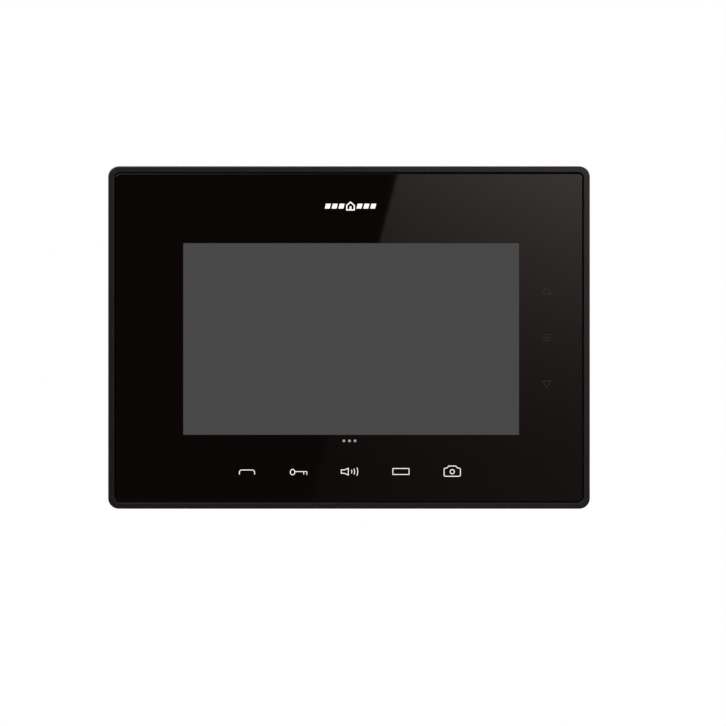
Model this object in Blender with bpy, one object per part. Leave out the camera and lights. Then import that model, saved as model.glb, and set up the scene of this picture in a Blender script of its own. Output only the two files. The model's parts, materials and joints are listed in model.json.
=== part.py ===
"""Video intercom monitor: a 7-inch touch panel that hangs on a pressed-steel wall bracket.

Every size is in millimetres and is turned into metres when a mesh is made. The model is drawn in
panel coordinates: X to the right, Y up the panel, Z out of the wall towards the viewer, with Z = 0
on the wall. The empty panel_axes stands it upright, so that in the world +Z is up, the glass faces
-Y, and the wall is the plane Y = 0. The origin is the middle of the bracket's back.
"""

import math

import bmesh
import bpy
from mathutils import Matrix, Vector
from mathutils.geometry import tessellate_polygon

MM = 0.001
GAP = 0.3  # clearance between neighbouring pieces

# --- Driving dimensions -----------------------------------------------------------------------

WIDTH = 225.0
HEIGHT = 160.0
DEPTH = 26.0

FRAME_WALL = 2.9  # width of the rim that shows round the glass
FRAME_RADIUS = 5.0
FRAME_BACK = 15.0
FRAME_EDGE = 0.7
MIDPLATE_BACK = 20.2
MIDPLATE_FRONT = 21.8
POCKET = (WIDTH - 2 * FRAME_WALL, HEIGHT - 2 * FRAME_WALL)
POCKET_RADIUS = FRAME_RADIUS - FRAME_WALL + 0.7

GLASS_GAP = 0.5
GLASS = (POCKET[0] - 2 * GLASS_GAP, POCKET[1] - 2 * GLASS_GAP)
GLASS_BACK = 23.0
GLASS_FRONT = 25.6
GLASS_CHAMFER = 0.3

SCREEN_CENTRE = (1.0, -0.7)
SCREEN_WINDOW = (160.0, 92.8)  # opening in the frame's middle plate
LCD = (165.0, 100.0)
LCD_OPENING = (158.6, 91.4)
LCD_BACK = 13.7
LCD_FRONT = 19.3

KEY_PITCH = 23.9
KEY_ROW = (0.2, -62.5)  # middle key of the bottom row
SIDE_KEY_PITCH = 21.7
SIDE_KEY_COLUMN = (92.5, 0.0)  # middle key of the right-hand column
KEY_HOLE_RADIUS = 4.5
TOUCH_BOARD_BACK = 16.2
TOUCH_BOARD_FRONT = 17.2
ROW_BOARD_CENTRE = (KEY_ROW[0], KEY_ROW[1] - 1.0)
ROW_STAKES = [(ROW_BOARD_CENTRE[0] + x, ROW_BOARD_CENTRE[1]) for x in (-56.0, 56.0)]
COLUMN_STAKES = [(SIDE_KEY_COLUMN[0], y) for y in (-29.0, 29.0)]

HOUSING_INSET = FRAME_WALL + 0.4
HOUSING = (WIDTH - 2 * HOUSING_INSET, HEIGHT - 2 * HOUSING_INSET)
HOUSING_RADIUS = 4.0
HOUSING_WALL = 2.2
HOUSING_BACK = 0.5
HOUSING_FRONT = MIDPLATE_BACK - GAP
HOUSING_CHAMFER = 5.0
HOUSING_BOTTOM = -HOUSING[1] / 2
BACK_WALL = 2.0
VENT_PITCH = 4.2
VENT_WIDTH = 1.8
VENT_Z = (7.5, 12.5)
VENT_GROUP_X = 44.0
VENTS_IN_GROUP = 9
WELL_RADIUS = 4.2
WELL_TOP = 14.5
HEAD_BORE = (3.1, 12.5)  # radius, and how deep it goes

PLATE_THICKNESS = 1.5
PLATE = (120.0, 92.0)
PLATE_RADIUS = 6.0
WALL_SLOTS = [(x, y) for x in (-52.0, 52.0) for y in (-36.0, 38.0)]
WALL_SLOT = (9.0, 4.6)
BOX_SLOT_SPACING = 60.0  # between the screws of a flush box
BOX_SLOT = (8.0, 4.4)
LIFT = 9.0  # travel that frees the monitor from the bracket's hooks
HOOK_X = 46.0
HOOK_TOPS = (24.0, -14.0)  # where the housing rests on each row of hooks
HOOKS = [(side * HOOK_X, top) for side in (-1, 1) for top in HOOK_TOPS]
HOOK_WIDTH = 8.0
HOOK_RISE = 7.0
HOOK_NEAR = 4.1
HOOK_FAR = HOOK_NEAR + PLATE_THICKNESS
HOOK_LEAD_IN = 0.8
HOOK_WINDOW = 11.3  # height of the hole that each hook leaves in the plate

RECESS_SIDE = PLATE[0] / 2 + 2.0
RECESS_TOP = PLATE[1] / 2 + 1.5
RECESS_BOTTOM = -PLATE[1] / 2 - LIFT - 1.0
RECESS_FLOOR = PLATE_THICKNESS + GAP
FLOOR_INSIDE = RECESS_FLOOR + 2.0

BAY = (44.0, 40.0)
BAY_CENTRE = (0.0, -24.0)
CABLE_OPENING = (48.0, 38.0)
CABLE_OPENING_CENTRE = (0.0, -23.0)

HOUSING_SCREWS = [(x, y) for x in (-98.0, 98.0) for y in (-66.0, 66.0)] + [(-102.0, 2.0), (102.0, 2.0)]

BOARD = (130.0, 92.0)
BOARD_CENTRE = (7.0, 0.0)
BOARD_BACK = 9.7
BOARD_FRONT = 11.3
BOARD_SCREWS = [(-54.0, 40.0), (68.0, 40.0), (-54.0, -40.0), (68.0, -40.0)]
ON_BOARD = BOARD_BACK - GAP  # the far end of a part that stands on the board's back
SOCKETS = {  # where each internal lead plugs in
    "speaker": (-50.0, -26.0),
    "microphone": (44.0, -38.0),
    "bottom_keys": (-40.0, -38.0),
    "side_keys": (66.0, -20.0),
}

RETAINER_BACK = 12.4
RETAINER_FRONT = LCD_BACK - GAP
RETAINER_SCREW_Y = 38.0
RETAINERS = {"left": (-83.0, -86.0), "right": (85.0, 88.0)}  # middle of the strip, line of its screws

SPEAKER_CENTRE = (-83.6, -24.0)
SPEAKER_RADIUS = 18.0
GRILLE_RADIUS = 14.5
GRILLE_PITCH = 3.0
GRILLE_SLOT = 1.6

MICROPHONE = (36.0, 8.5)  # its X and Z; its axis points down the panel
DIP_CENTRE = (-10.0, -12.0)
DIP_PITCH = 2.54
DIP_WAYS = 4
DIP_TRAVEL = 2.0
DIP_SLIDER = (1.1, 1.8)
RESET_CENTRE = (9.0, -12.0)

# --- Materials --------------------------------------------------------------------------------

FINISHES = {  # colour, roughness, metallic
    "gloss_black_plastic": ((0.016, 0.014, 0.014), 0.28, 0.0),
    "matt_black_plastic": ((0.022, 0.021, 0.021), 0.55, 0.0),
    "printed_black_glass": ((0.004, 0.003, 0.003), 0.04, 0.0),
    "display_grey": ((0.065, 0.065, 0.065), 0.35, 0.0),
    "zinc_plated_steel": ((0.60, 0.60, 0.58), 0.35, 1.0),
    "black_screw_steel": ((0.05, 0.05, 0.05), 0.40, 1.0),
    "bright_tin": ((0.72, 0.72, 0.70), 0.30, 1.0),
    "white_plastic": ((0.80, 0.80, 0.78), 0.50, 0.0),
    "green_circuit_board": ((0.01, 0.12, 0.04), 0.40, 0.0),
    "black_foam": ((0.02, 0.02, 0.02), 0.90, 0.0),
    "black_rubber": ((0.03, 0.03, 0.03), 0.80, 0.0),
    "anodised_aluminium": ((0.06, 0.06, 0.06), 0.45, 1.0),
    "capacitor_aluminium": ((0.65, 0.65, 0.66), 0.25, 1.0),
    "ferrite": ((0.07, 0.07, 0.08), 0.60, 0.0),
    "terminal_green": ((0.02, 0.30, 0.10), 0.45, 0.0),
    "switch_red": ((0.55, 0.03, 0.02), 0.45, 0.0),
    "amber_film": ((0.55, 0.25, 0.05), 0.35, 0.0),
    "paper_cone": ((0.03, 0.03, 0.03), 0.85, 0.0),
}


def finish(name):
    """The material of that name, made once."""
    found = bpy.data.materials.get(name)
    if found:
        return found
    colour, roughness, metallic = FINISHES[name]
    made = bpy.data.materials.new(name)
    made.use_nodes = True
    shader = made.node_tree.nodes["Principled BSDF"]
    shader.inputs["Base Color"].default_value = (*colour, 1.0)
    shader.inputs["Roughness"].default_value = roughness
    shader.inputs["Metallic"].default_value = metallic
    return made


# --- Outlines, as lists of (x, y) points --------------------------------------------------------


def rectangle(size, centre=(0.0, 0.0)):
    half_x, half_y = size[0] / 2, size[1] / 2
    signs = ((-1, -1), (1, -1), (1, 1), (-1, 1))
    return [(centre[0] + sx * half_x, centre[1] + sy * half_y) for sx, sy in signs]


def rounded_rectangle(size, radius, centre=(0.0, 0.0), corner_steps=5):
    """Anticlockwise outline whose four corners are quarter circles."""
    points = []
    for quarter, (sx, sy) in enumerate(((1, -1), (1, 1), (-1, 1), (-1, -1))):
        middle_x = centre[0] + sx * (size[0] / 2 - radius)
        middle_y = centre[1] + sy * (size[1] / 2 - radius)
        for step in range(corner_steps + 1):
            angle = math.radians(90 * (quarter - 1 + step / corner_steps))
            points.append((middle_x + radius * math.cos(angle), middle_y + radius * math.sin(angle)))
    return points


def stadium(length, width, centre=(0.0, 0.0), upright=False):
    """A slot with round ends; the pair of points where its arcs meet is kept apart by a short flat."""
    flat = 0.02
    size = (width, length) if upright else (length, width)
    return rounded_rectangle(size, width / 2 - flat, centre, corner_steps=2)


def circle(radius, centre=(0.0, 0.0), steps=20):
    angles = [math.tau * step / steps for step in range(steps)]
    return [(centre[0] + radius * math.cos(a), centre[1] + radius * math.sin(a)) for a in angles]


# --- Solids -------------------------------------------------------------------------------------


def mesh_object(name, points, faces):
    """A mesh object in panel coordinates, its faces turned outwards."""
    mesh = bpy.data.meshes.new(name)
    mesh.from_pydata([(x * MM, y * MM, z * MM) for x, y, z in points], [], faces)
    work = bmesh.new()
    work.from_mesh(mesh)
    bmesh.ops.remove_doubles(work, verts=work.verts, dist=1e-7)
    bmesh.ops.dissolve_degenerate(work, dist=1e-7, edges=work.edges)
    bmesh.ops.recalc_face_normals(work, faces=work.faces)
    work.to_mesh(mesh)
    work.free()
    return placed(bpy.data.objects.new(name, mesh))


def placed(obj):
    """Links an object to the scene and hangs it on the panel's axes."""
    bpy.context.scene.collection.objects.link(obj)
    obj.parent = bpy.data.objects["panel_axes"]
    return obj


def with_origin(obj, point):
    """Moves an object's origin to a point on the line it travels along; its shape stays where it is."""
    offset = Vector(point) * MM
    obj.data.transform(Matrix.Translation(-offset))
    obj.location = offset
    return obj


def loft(name, sections):
    """A skin through outlines of equal length at the given heights, closed by a cap at each end."""
    count = len(sections[0][0])
    points = [(x, y, z) for outline, z in sections for x, y in outline]
    faces = [tuple(range(count)), tuple(range(len(points) - count, len(points)))]
    for ring in range(len(sections) - 1):
        for i in range(count):
            a = ring * count + i
            b = ring * count + (i + 1) % count
            faces.append((a, b, b + count, a + count))
    return mesh_object(name, points, faces)


def prism(name, outlines, z_low, z_high):
    """Straight-sided solids; an outline that lies inside another is a hole in it."""
    flat = [point for outline in outlines for point in outline]
    count = len(flat)
    caps = tessellate_polygon([[Vector((x, y, 0)) for x, y in outline] for outline in outlines])
    faces = [tuple(cap) for cap in caps] + [tuple(i + count for i in cap) for cap in caps]
    start = 0
    for outline in outlines:
        for i in range(len(outline)):
            a = start + i
            b = start + (i + 1) % len(outline)
            faces.append((a, b, b + count, a + count))
        start += len(outline)
    return mesh_object(name, [(x, y, z) for z in (z_low, z_high) for x, y in flat], faces)


def side_prism(name, outline, x_low, x_high):
    """A straight-sided solid whose outline is in Y and Z, extruded along X."""
    count = len(outline)
    points = [(x, y, z) for x in (x_low, x_high) for y, z in outline]
    faces = [tuple(range(count)), tuple(range(count, 2 * count))]
    faces += [(i, (i + 1) % count, (i + 1) % count + count, i + count) for i in range(count)]
    return mesh_object(name, points, faces)


def turned(name, profile, centre=(0.0, 0.0), steps=24):
    """A solid of revolution about a line along Z through centre, from a closed profile of (radius, z)."""
    count = len(profile)
    points = []
    for step in range(steps):
        angle = math.tau * step / steps
        for radius, z in profile:
            points.append((centre[0] + radius * math.cos(angle), centre[1] + radius * math.sin(angle), z))
    faces = []
    for step in range(steps):
        here = step * count
        after = (step + 1) % steps * count
        for i in range(count):
            j = (i + 1) % count
            if profile[i][0] > 0 or profile[j][0] > 0:
                faces.append((here + i, here + j, after + j, after + i))
    return mesh_object(name, points, faces)


def tube(name, route, diameter, sides_level=2):
    """A round wire or cable along a list of points in panel coordinates."""
    curve = bpy.data.curves.new(name, "CURVE")
    curve.dimensions = "3D"
    curve.bevel_depth = diameter / 2 * MM
    curve.bevel_resolution = sides_level
    curve.use_fill_caps = True
    line = curve.splines.new("POLY")
    line.points.add(len(route) - 1)
    for point, (x, y, z) in zip(line.points, route):
        point.co = (x * MM, y * MM, z * MM, 1.0)
    return placed(bpy.data.objects.new(name, curve))


def smooth_route(corners, steps=8):
    """Points along a Catmull-Rom curve through the corners."""
    ends = [corners[0], *corners, corners[-1]]
    route = []
    for before, start, end, after in zip(ends, ends[1:], ends[2:], ends[3:]):
        for step in range(steps):
            t = step / steps
            route.append(
                tuple(
                    b
                    + 0.5 * (c - a) * t
                    + (a - 2.5 * b + 2 * c - 0.5 * d) * t**2
                    + 0.5 * (3 * b - a - 3 * c + d) * t**3
                    for a, b, c, d in zip(before, start, end, after)
                )
            )
    return [*route, corners[-1]]


def combine(obj, tool, operation):
    tool.hide_render = True
    tool.display_type = "WIRE"
    step = obj.modifiers.new(tool.name, "BOOLEAN")
    step.operation = operation
    step.object = tool
    step.solver = "EXACT"


def cut(obj, *tools):
    for tool in tools:
        combine(obj, tool, "DIFFERENCE")


def join(obj, *tools):
    for tool in tools:
        combine(obj, tool, "UNION")


def soften(obj, width, segments=1, angle=50):
    """Bevels every edge sharper than angle, in degrees."""
    step = obj.modifiers.new("softened edges", "BEVEL")
    step.width = width * MM
    step.segments = segments
    step.limit_method = "ANGLE"
    step.angle_limit = math.radians(angle)


def part(obj, material_name, smooth_angle=None):
    """Finishes a sub-part: its material, and smooth shading up to smooth_angle on round pieces."""
    obj.data.materials.append(finish(material_name))
    if smooth_angle:
        obj.data.shade_smooth()
        obj.data.set_sharp_from_angle(angle=math.radians(smooth_angle))
    return obj


# --- Wall bracket -------------------------------------------------------------------------------


def wall_bracket():
    """A pressed plate: cable opening, screw slots, and four hooks bent out of it that point up."""
    wall_slots = [stadium(*WALL_SLOT, at, upright=True) for at in WALL_SLOTS]
    box_slot_x = BOX_SLOT_SPACING / 2
    box_slots = [stadium(*BOX_SLOT, (x, CABLE_OPENING_CENTRE[1])) for x in (-box_slot_x, box_slot_x)]
    window_below = PLATE_THICKNESS - GAP + HOOK_WINDOW / 2
    hook_windows = [rectangle((HOOK_WIDTH + 1.0, HOOK_WINDOW), (x, top - window_below)) for x, top in HOOKS]
    level_holes = [circle(2.4, (x, 38.0), steps=16) for x in (-18.0, 18.0)]
    up_arrow = [(-5.0, 34.0), (5.0, 34.0), (0.0, 41.5)]
    plate = prism(
        "wall_bracket",
        [
            rounded_rectangle(PLATE, PLATE_RADIUS),
            rounded_rectangle(CABLE_OPENING, 3.0, CABLE_OPENING_CENTRE),
            up_arrow,
            *wall_slots,
            *box_slots,
            *hook_windows,
            *level_holes,
        ],
        0.0,
        PLATE_THICKNESS,
    )
    for number, (x, top) in enumerate(HOOKS, start=1):
        bottom = top - PLATE_THICKNESS
        root = PLATE_THICKNESS / 2
        profile = [
            (bottom, root),
            (top, root),
            (top, HOOK_NEAR),
            (top + HOOK_RISE - 2 * HOOK_LEAD_IN, HOOK_NEAR),
            (top + HOOK_RISE, HOOK_NEAR + HOOK_LEAD_IN),
            (top + HOOK_RISE, HOOK_FAR),
            (bottom, HOOK_FAR),
        ]
        join(plate, side_prism(f"hook_{number}", profile, x - HOOK_WIDTH / 2, x + HOOK_WIDTH / 2))
    return part(plate, "zinc_plated_steel")


# --- Rear housing -------------------------------------------------------------------------------


def housing_outline(inset):
    """The housing's outline, drawn in by inset on every side."""
    size = (HOUSING[0] - 2 * inset, HOUSING[1] - 2 * inset)
    return rounded_rectangle(size, HOUSING_RADIUS, corner_steps=4)


def speaker_grille():
    """Slots across a circle, each as long as the circle is wide there."""
    slots = []
    rows = int((GRILLE_RADIUS - GRILLE_SLOT) / GRILLE_PITCH)
    for row in range(-rows, rows + 1):
        offset = row * GRILLE_PITCH
        length = 2 * math.sqrt(GRILLE_RADIUS**2 - offset**2)
        slots.append(stadium(length, GRILLE_SLOT, (SPEAKER_CENTRE[0], SPEAKER_CENTRE[1] + offset)))
    return prism("grille_slots", slots, -1.0, HOUSING_BACK + BACK_WALL + 1.0)


def back_vents():
    """A ladder of slots in the back, on the side away from the speaker."""
    x, y = -SPEAKER_CENTRE[0], SPEAKER_CENTRE[1]
    slots = [stadium(26.0, GRILLE_SLOT, (x, y + row * GRILLE_PITCH)) for row in range(-4, 5)]
    return prism("back_vent_slots", slots, -1.0, HOUSING_BACK + BACK_WALL + 1.0)


def top_vents():
    """Two groups of slots through the top wall, drawn as rectangles on end."""
    low, high = VENT_Z
    middle = (HOUSING[1] / 2 - 1.5, (low + high) / 2)
    vents = []
    for group in (-1, 1):
        for i in range(VENTS_IN_GROUP):
            x = group * (VENT_GROUP_X + (i - (VENTS_IN_GROUP - 1) / 2) * VENT_PITCH)
            outline = rectangle((5.0, high - low), middle)
            name = f"vent_{'left' if group < 0 else 'right'}_{i + 1}"
            vents.append(side_prism(name, outline, x - VENT_WIDTH / 2, x + VENT_WIDTH / 2))
    return vents


def microphone_cut(name, radius, low, high):
    """A round cutter on the microphone's axis, from low to high above the housing's bottom."""
    cutter = turned(name, [(0.0, low), (radius, low), (radius, high), (0.0, high)], steps=16)
    return on_microphone_axis(cutter, HOUSING_BOTTOM)


def on_microphone_axis(obj, start_y):
    """Turns a piece that stands along Z to point up the panel, its foot at start_y."""
    obj.rotation_euler = (math.radians(-90), 0, 0)
    obj.location = Vector((MICROPHONE[0], start_y, MICROPHONE[1])) * MM
    return obj


def rear_housing():
    """A dished shell, with the bracket's recess and the terminals' bay sunk in its back."""
    inner_back = HOUSING_BACK + BACK_WALL
    chamfer_end = HOUSING_BACK + HOUSING_CHAMFER
    skin = [
        (HOUSING_CHAMFER, HOUSING_BACK),
        (0.0, chamfer_end),
        (0.0, HOUSING_FRONT),
        (HOUSING_WALL, HOUSING_FRONT),
        (HOUSING_WALL, chamfer_end + 0.8),
        (HOUSING_WALL + HOUSING_CHAMFER - 0.8, inner_back),
    ]
    body = loft("rear_housing", [(housing_outline(inset), z) for inset, z in skin])

    recess_size = (2 * RECESS_SIDE, RECESS_TOP - RECESS_BOTTOM)
    recess_centre = (0.0, (RECESS_TOP + RECESS_BOTTOM) / 2)
    floor_size = (recess_size[0] + 4.0, recess_size[1] + 4.0)
    floor = prism("recess_floor", [rounded_rectangle(floor_size, 6.0, recess_centre)], 1.2, FLOOR_INSIDE)
    bay_outside = rounded_rectangle((BAY[0] + 3.0, BAY[1] + 3.0), 4.0, BAY_CENTRE, 3)
    bay_inside = rounded_rectangle(BAY, 2.5, BAY_CENTRE, 3)
    bay_wall = prism("bay_wall", [bay_outside, bay_inside], 3.0, ON_BOARD)
    wells = prism("screw_wells", [circle(WELL_RADIUS, at, 14) for at in HOUSING_SCREWS], 1.1, WELL_TOP)
    posts = prism("board_posts", [circle(3.0, at, 12) for at in BOARD_SCREWS], 2.3, ON_BOARD)
    ring = [circle(SPEAKER_RADIUS + grow, SPEAKER_CENTRE, 20) for grow in (2.0, 0.4)]
    speaker_ring = prism("speaker_ring", ring, 1.4, 5.5)
    cradle_at = (MICROPHONE[0], HOUSING_BOTTOM + HOUSING_WALL + 3.0)
    cradle = prism("microphone_cradle", [rectangle((12.0, 5.4), cradle_at)], 3.4, MICROPHONE[1] - 1.0)
    join(body, floor, bay_wall, wells, posts, speaker_ring, cradle)

    recess_outline = rounded_rectangle(recess_size, 4.0, recess_centre)
    recess = prism("bracket_recess", [recess_outline], -1.0, RECESS_FLOOR)
    slot_height = LIFT + PLATE_THICKNESS + 1.0
    slot_size = (HOOK_WIDTH + 2.0, slot_height)
    slots = [rectangle(slot_size, (x, top + GAP - slot_height / 2)) for x, top in HOOKS]
    hook_slots = prism("hook_slots", slots, 0.0, FLOOR_INSIDE + 1.0)
    bay = prism("terminal_bay", [bay_inside], 0.0, FLOOR_INSIDE + 0.6)
    radius, depth = HEAD_BORE
    head_bores = prism("head_bores", [circle(radius, at, 14) for at in HOUSING_SCREWS], -1.0, depth)
    shank_bores = prism("shank_bores", [circle(1.7, at, 8) for at in HOUSING_SCREWS], depth - 0.5, 16.0)
    post_bores = prism("post_bores", [circle(1.3, at, 8) for at in BOARD_SCREWS], 4.6, ON_BOARD + 1.0)
    cut(body, recess, hook_slots, bay, head_bores, shank_bores, post_bores)
    cut(body, microphone_cut("boot_seat", 4.5, HOUSING_WALL - 0.2, 9.0))
    cut(body, microphone_cut("sound_hole", 0.9, -1.0, HOUSING_WALL + 1.0))
    cut(body, speaker_grille(), back_vents(), *top_vents())
    return part(body, "matt_black_plastic")


# --- Front frame, glass and display -------------------------------------------------------------


def key_places():
    """The middle of each touch key: five along the bottom, three down the right-hand side."""
    row = [(KEY_ROW[0] + (i - 2) * KEY_PITCH, KEY_ROW[1]) for i in range(5)]
    column = [(SIDE_KEY_COLUMN[0], (1 - i) * SIDE_KEY_PITCH) for i in range(3)]
    return row + column


def front_frame():
    """The frame round the glass and the plate behind it, which carries the display and touch boards."""
    frame = prism(
        "front_frame",
        [rounded_rectangle((WIDTH, HEIGHT), FRAME_RADIUS, corner_steps=6)],
        FRAME_BACK,
        DEPTH,
    )
    soften(frame, FRAME_EDGE, segments=2)
    pocket_outline = rounded_rectangle(POCKET, POCKET_RADIUS, corner_steps=5)
    glass_pocket = prism("glass_pocket", [pocket_outline], MIDPLATE_FRONT, DEPTH + 1.0)
    rear_pocket = prism("rear_pocket", [pocket_outline], FRAME_BACK - 1.0, MIDPLATE_BACK)
    cut(frame, glass_pocket, rear_pocket)

    retainer_lines = [line for _, line in RETAINERS.values()]
    retainer_bosses = [(x, y) for x in retainer_lines for y in (-RETAINER_SCREW_Y, RETAINER_SCREW_Y)]
    stakes = ROW_STAKES + COLUMN_STAKES
    screw_bosses = prism("screw_bosses", [circle(3.2, at, 12) for at in HOUSING_SCREWS], 14.8, 21.0)
    clip_bosses = prism("retainer_bosses", [circle(2.6, at, 10) for at in retainer_bosses], LCD_BACK, 21.0)
    stake_feet = prism("stake_feet", [circle(2.4, at, 10) for at in stakes], TOUCH_BOARD_FRONT + GAP, 21.0)
    stake_pins = prism("stake_pins", [circle(1.1, at, 8) for at in stakes], TOUCH_BOARD_BACK - 0.6, 19.0)
    join(frame, screw_bosses, clip_bosses, stake_feet, stake_pins)

    window = prism("screen_window", [rectangle(SCREEN_WINDOW, SCREEN_CENTRE)], 19.0, 23.0)
    key_circles = [circle(KEY_HOLE_RADIUS, at, 12) for at in key_places()]
    key_holes = prism("key_holes", key_circles, 19.0, 23.0)
    screw_bores = prism("screw_boss_bores", [circle(1.6, at, 8) for at in HOUSING_SCREWS], 14.0, 19.8)
    clip_bores = prism("retainer_boss_bores", [circle(1.3, at, 8) for at in retainer_bosses], 13.0, 19.0)
    cut(frame, window, key_holes, screw_bores, clip_bores)
    return part(frame, "gloss_black_plastic")


def front_glass():
    glass = prism(
        "front_glass",
        [rounded_rectangle(GLASS, POCKET_RADIUS - GLASS_GAP, corner_steps=5)],
        GLASS_BACK,
        GLASS_FRONT,
    )
    soften(glass, GLASS_CHAMFER)
    return part(glass, "printed_black_glass")


def glass_tape():
    """A ring of foam tape that holds the glass to the frame's middle plate."""
    outer = rounded_rectangle((GLASS[0] - 2.0, GLASS[1] - 2.0), 1.5, corner_steps=3)
    inner = rounded_rectangle((GLASS[0] - 12.0, GLASS[1] - 12.0), 1.5, corner_steps=3)
    return part(prism("glass_tape", [outer, inner], MIDPLATE_FRONT + GAP, GLASS_BACK - GAP), "black_foam")


def lcd_parts():
    """The display module: tin bezel, liquid crystal cell, backlight tray, and the gasket in front."""
    inside = (LCD[0] - 1.0, LCD[1] - 1.0)
    bezel = prism("lcd_bezel", [rectangle(LCD, SCREEN_CENTRE)], LCD_BACK + 0.3, LCD_FRONT)
    cut(
        bezel,
        prism("bezel_inside", [rectangle(inside, SCREEN_CENTRE)], LCD_BACK - 1.0, LCD_FRONT - 0.4),
        prism("bezel_opening", [rectangle(LCD_OPENING, SCREEN_CENTRE)], LCD_BACK - 1.0, LCD_FRONT + 1.0),
    )
    part(bezel, "bright_tin")
    body = (inside[0] - 0.6, inside[1] - 0.6)
    cell = prism("lcd_cell", [rectangle(body, SCREEN_CENTRE)], 17.0, LCD_FRONT - 0.65)
    part(cell, "display_grey")
    tray = prism("backlight_tray", [rectangle(body, SCREEN_CENTRE)], LCD_BACK, 16.7)
    part(tray, "white_plastic")
    gasket = prism(
        "lcd_gasket",
        [rectangle((LCD[0] - 0.6, LCD[1] - 0.6), SCREEN_CENTRE), rectangle((160.8, 94.0), SCREEN_CENTRE)],
        LCD_FRONT + 0.2,
        MIDPLATE_BACK - 0.2,
    )
    part(gasket, "black_foam")


def lcd_retainers():
    """Two steel strips that hold the display's short edges, each screwed to two bosses."""
    for side, (middle, screw_line) in RETAINERS.items():
        holes = [circle(1.6, (screw_line, y), 12) for y in (-RETAINER_SCREW_Y, RETAINER_SCREW_Y)]
        strip = rounded_rectangle((11.0, 86.0), 1.5, (middle, 0.0), corner_steps=2)
        part(
            prism(f"lcd_retainer_{side}", [strip, *holes], RETAINER_BACK, RETAINER_FRONT),
            "zinc_plated_steel",
        )
        for end, y in (("lower", -RETAINER_SCREW_Y), ("upper", RETAINER_SCREW_Y)):
            screw(
                f"retainer_screw_{side}_{end}",
                (screw_line, y),
                RETAINER_BACK - GAP,
                head=(2.3, 1.2),
                shank=(1.0, 5.0),
                material_name="zinc_plated_steel",
            )


def screw(name, at, seat, head, shank, material_name, towards=1):
    """A pan-head screw seated at height seat, its shank running towards +Z or, with -1, towards -Z."""
    head_radius, head_height = head
    shank_radius, shank_length = shank
    top = seat - towards * head_height
    profile = [
        (0.0, seat + towards * shank_length),
        (shank_radius, seat + towards * (shank_length - shank_radius)),
        (shank_radius, seat),
        (head_radius, seat),
        (head_radius, top + towards * 0.4),
        (head_radius - 0.6, top),
        (0.0, top),
    ]
    body = turned(name, profile, at, steps=10)
    low, high = sorted((top - towards * 1.0, top + towards * 0.5 * head_height))
    cross = cross_outline(head_radius * 0.55, head_radius * 0.14, at)
    cut(body, loft(f"{name}_drive", [(cross, low), (cross, high)]))
    return part(body, material_name, smooth_angle=40)


def cross_outline(reach, half_width, centre):
    """A plus sign, for a cross-head screw's recess."""
    w, r = half_width, reach
    quarter = [(r, w), (w, w), (w, r)]
    points = []
    for _ in range(4):
        points += quarter
        quarter = [(-y, x) for x, y in quarter]
    return [(centre[0] + x, centre[1] + y) for x, y in points]


# --- Touch keys ---------------------------------------------------------------------------------


def touch_boards():
    """A board behind each line of keys, held on stakes that stand on the frame's middle plate."""
    row_holes = [circle(1.5, at, 10) for at in ROW_STAKES]
    row = prism(
        "touch_board_bottom",
        [rectangle((120.0, 12.0), ROW_BOARD_CENTRE), *row_holes],
        TOUCH_BOARD_BACK,
        TOUCH_BOARD_FRONT,
    )
    part(row, "green_circuit_board")
    column_holes = [circle(1.5, at, 10) for at in COLUMN_STAKES]
    column = prism(
        "touch_board_right",
        [rectangle((10.6, 64.0), SIDE_KEY_COLUMN), *column_holes],
        TOUCH_BOARD_BACK,
        TOUCH_BOARD_FRONT,
    )
    part(column, "green_circuit_board")


def touch_springs():
    """A coil between each key's pad on its board and the back of the glass."""
    turns, per_turn = 3.5, 9
    low, high = TOUCH_BOARD_FRONT + 0.5, GLASS_BACK - 0.5
    count = int(turns * per_turn)
    for number, (x, y) in enumerate(key_places(), start=1):
        route = []
        for step in range(count + 1):
            share = step / count
            angle = math.tau * turns * share
            radius = 2.2 + 1.0 * share
            height = low + (high - low) * share
            route.append((x + radius * math.cos(angle), y + radius * math.sin(angle), height))
        part(tube(f"touch_spring_{number}", route, 0.5, sides_level=0), "bright_tin")


# --- Main board ---------------------------------------------------------------------------------


def main_board():
    """The board with its soldered chips and sockets; its tall parts stand on its back."""
    board = prism(
        "main_board",
        [rectangle(BOARD, BOARD_CENTRE), *[circle(1.6, at, 12) for at in BOARD_SCREWS]],
        BOARD_BACK,
        BOARD_FRONT,
    )
    low_chips = [
        rectangle((10.0, 6.5), (4.0, 28.0)),
        rectangle((5.0, 6.0), (52.0, 32.0)),
        rectangle((6.5, 5.0), (-38.0, -4.0)),
        rectangle((14.0, 14.0), (30.0, 20.0)),
    ]
    sockets = [rectangle((7.0, 5.0), at) for at in SOCKETS.values()]
    flex_socket = rectangle((46.0, 4.5), (10.0, -38.0))
    join(
        board,
        prism("chips", low_chips, BOARD_BACK - 1.1, BOARD_BACK + 0.8),
        prism("lead_sockets", sockets, BOARD_BACK - 3.6, BOARD_BACK + 0.8),
        prism("flex_socket", [flex_socket], BOARD_FRONT - 0.8, BOARD_FRONT + 1.0),
    )
    return part(board, "green_circuit_board")


def heatsink():
    """A finned block on the processor."""
    centre, size, fins = (30.0, 20.0), 20.0, 6
    root, tip = BOARD_BACK - 1.1 - GAP, FLOOR_INSIDE + 0.6
    block = prism("heatsink", [rectangle((size, size), centre)], tip, root)
    pitch = size / (fins - 0.5)
    grooves = [
        rectangle((pitch / 2, size + 2.0), (centre[0] - size / 2 + pitch * (i + 0.75), centre[1]))
        for i in range(fins - 1)
    ]
    cut(block, prism("heatsink_grooves", grooves, tip - 1.0, root - 1.2))
    return part(block, "anodised_aluminium")


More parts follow.
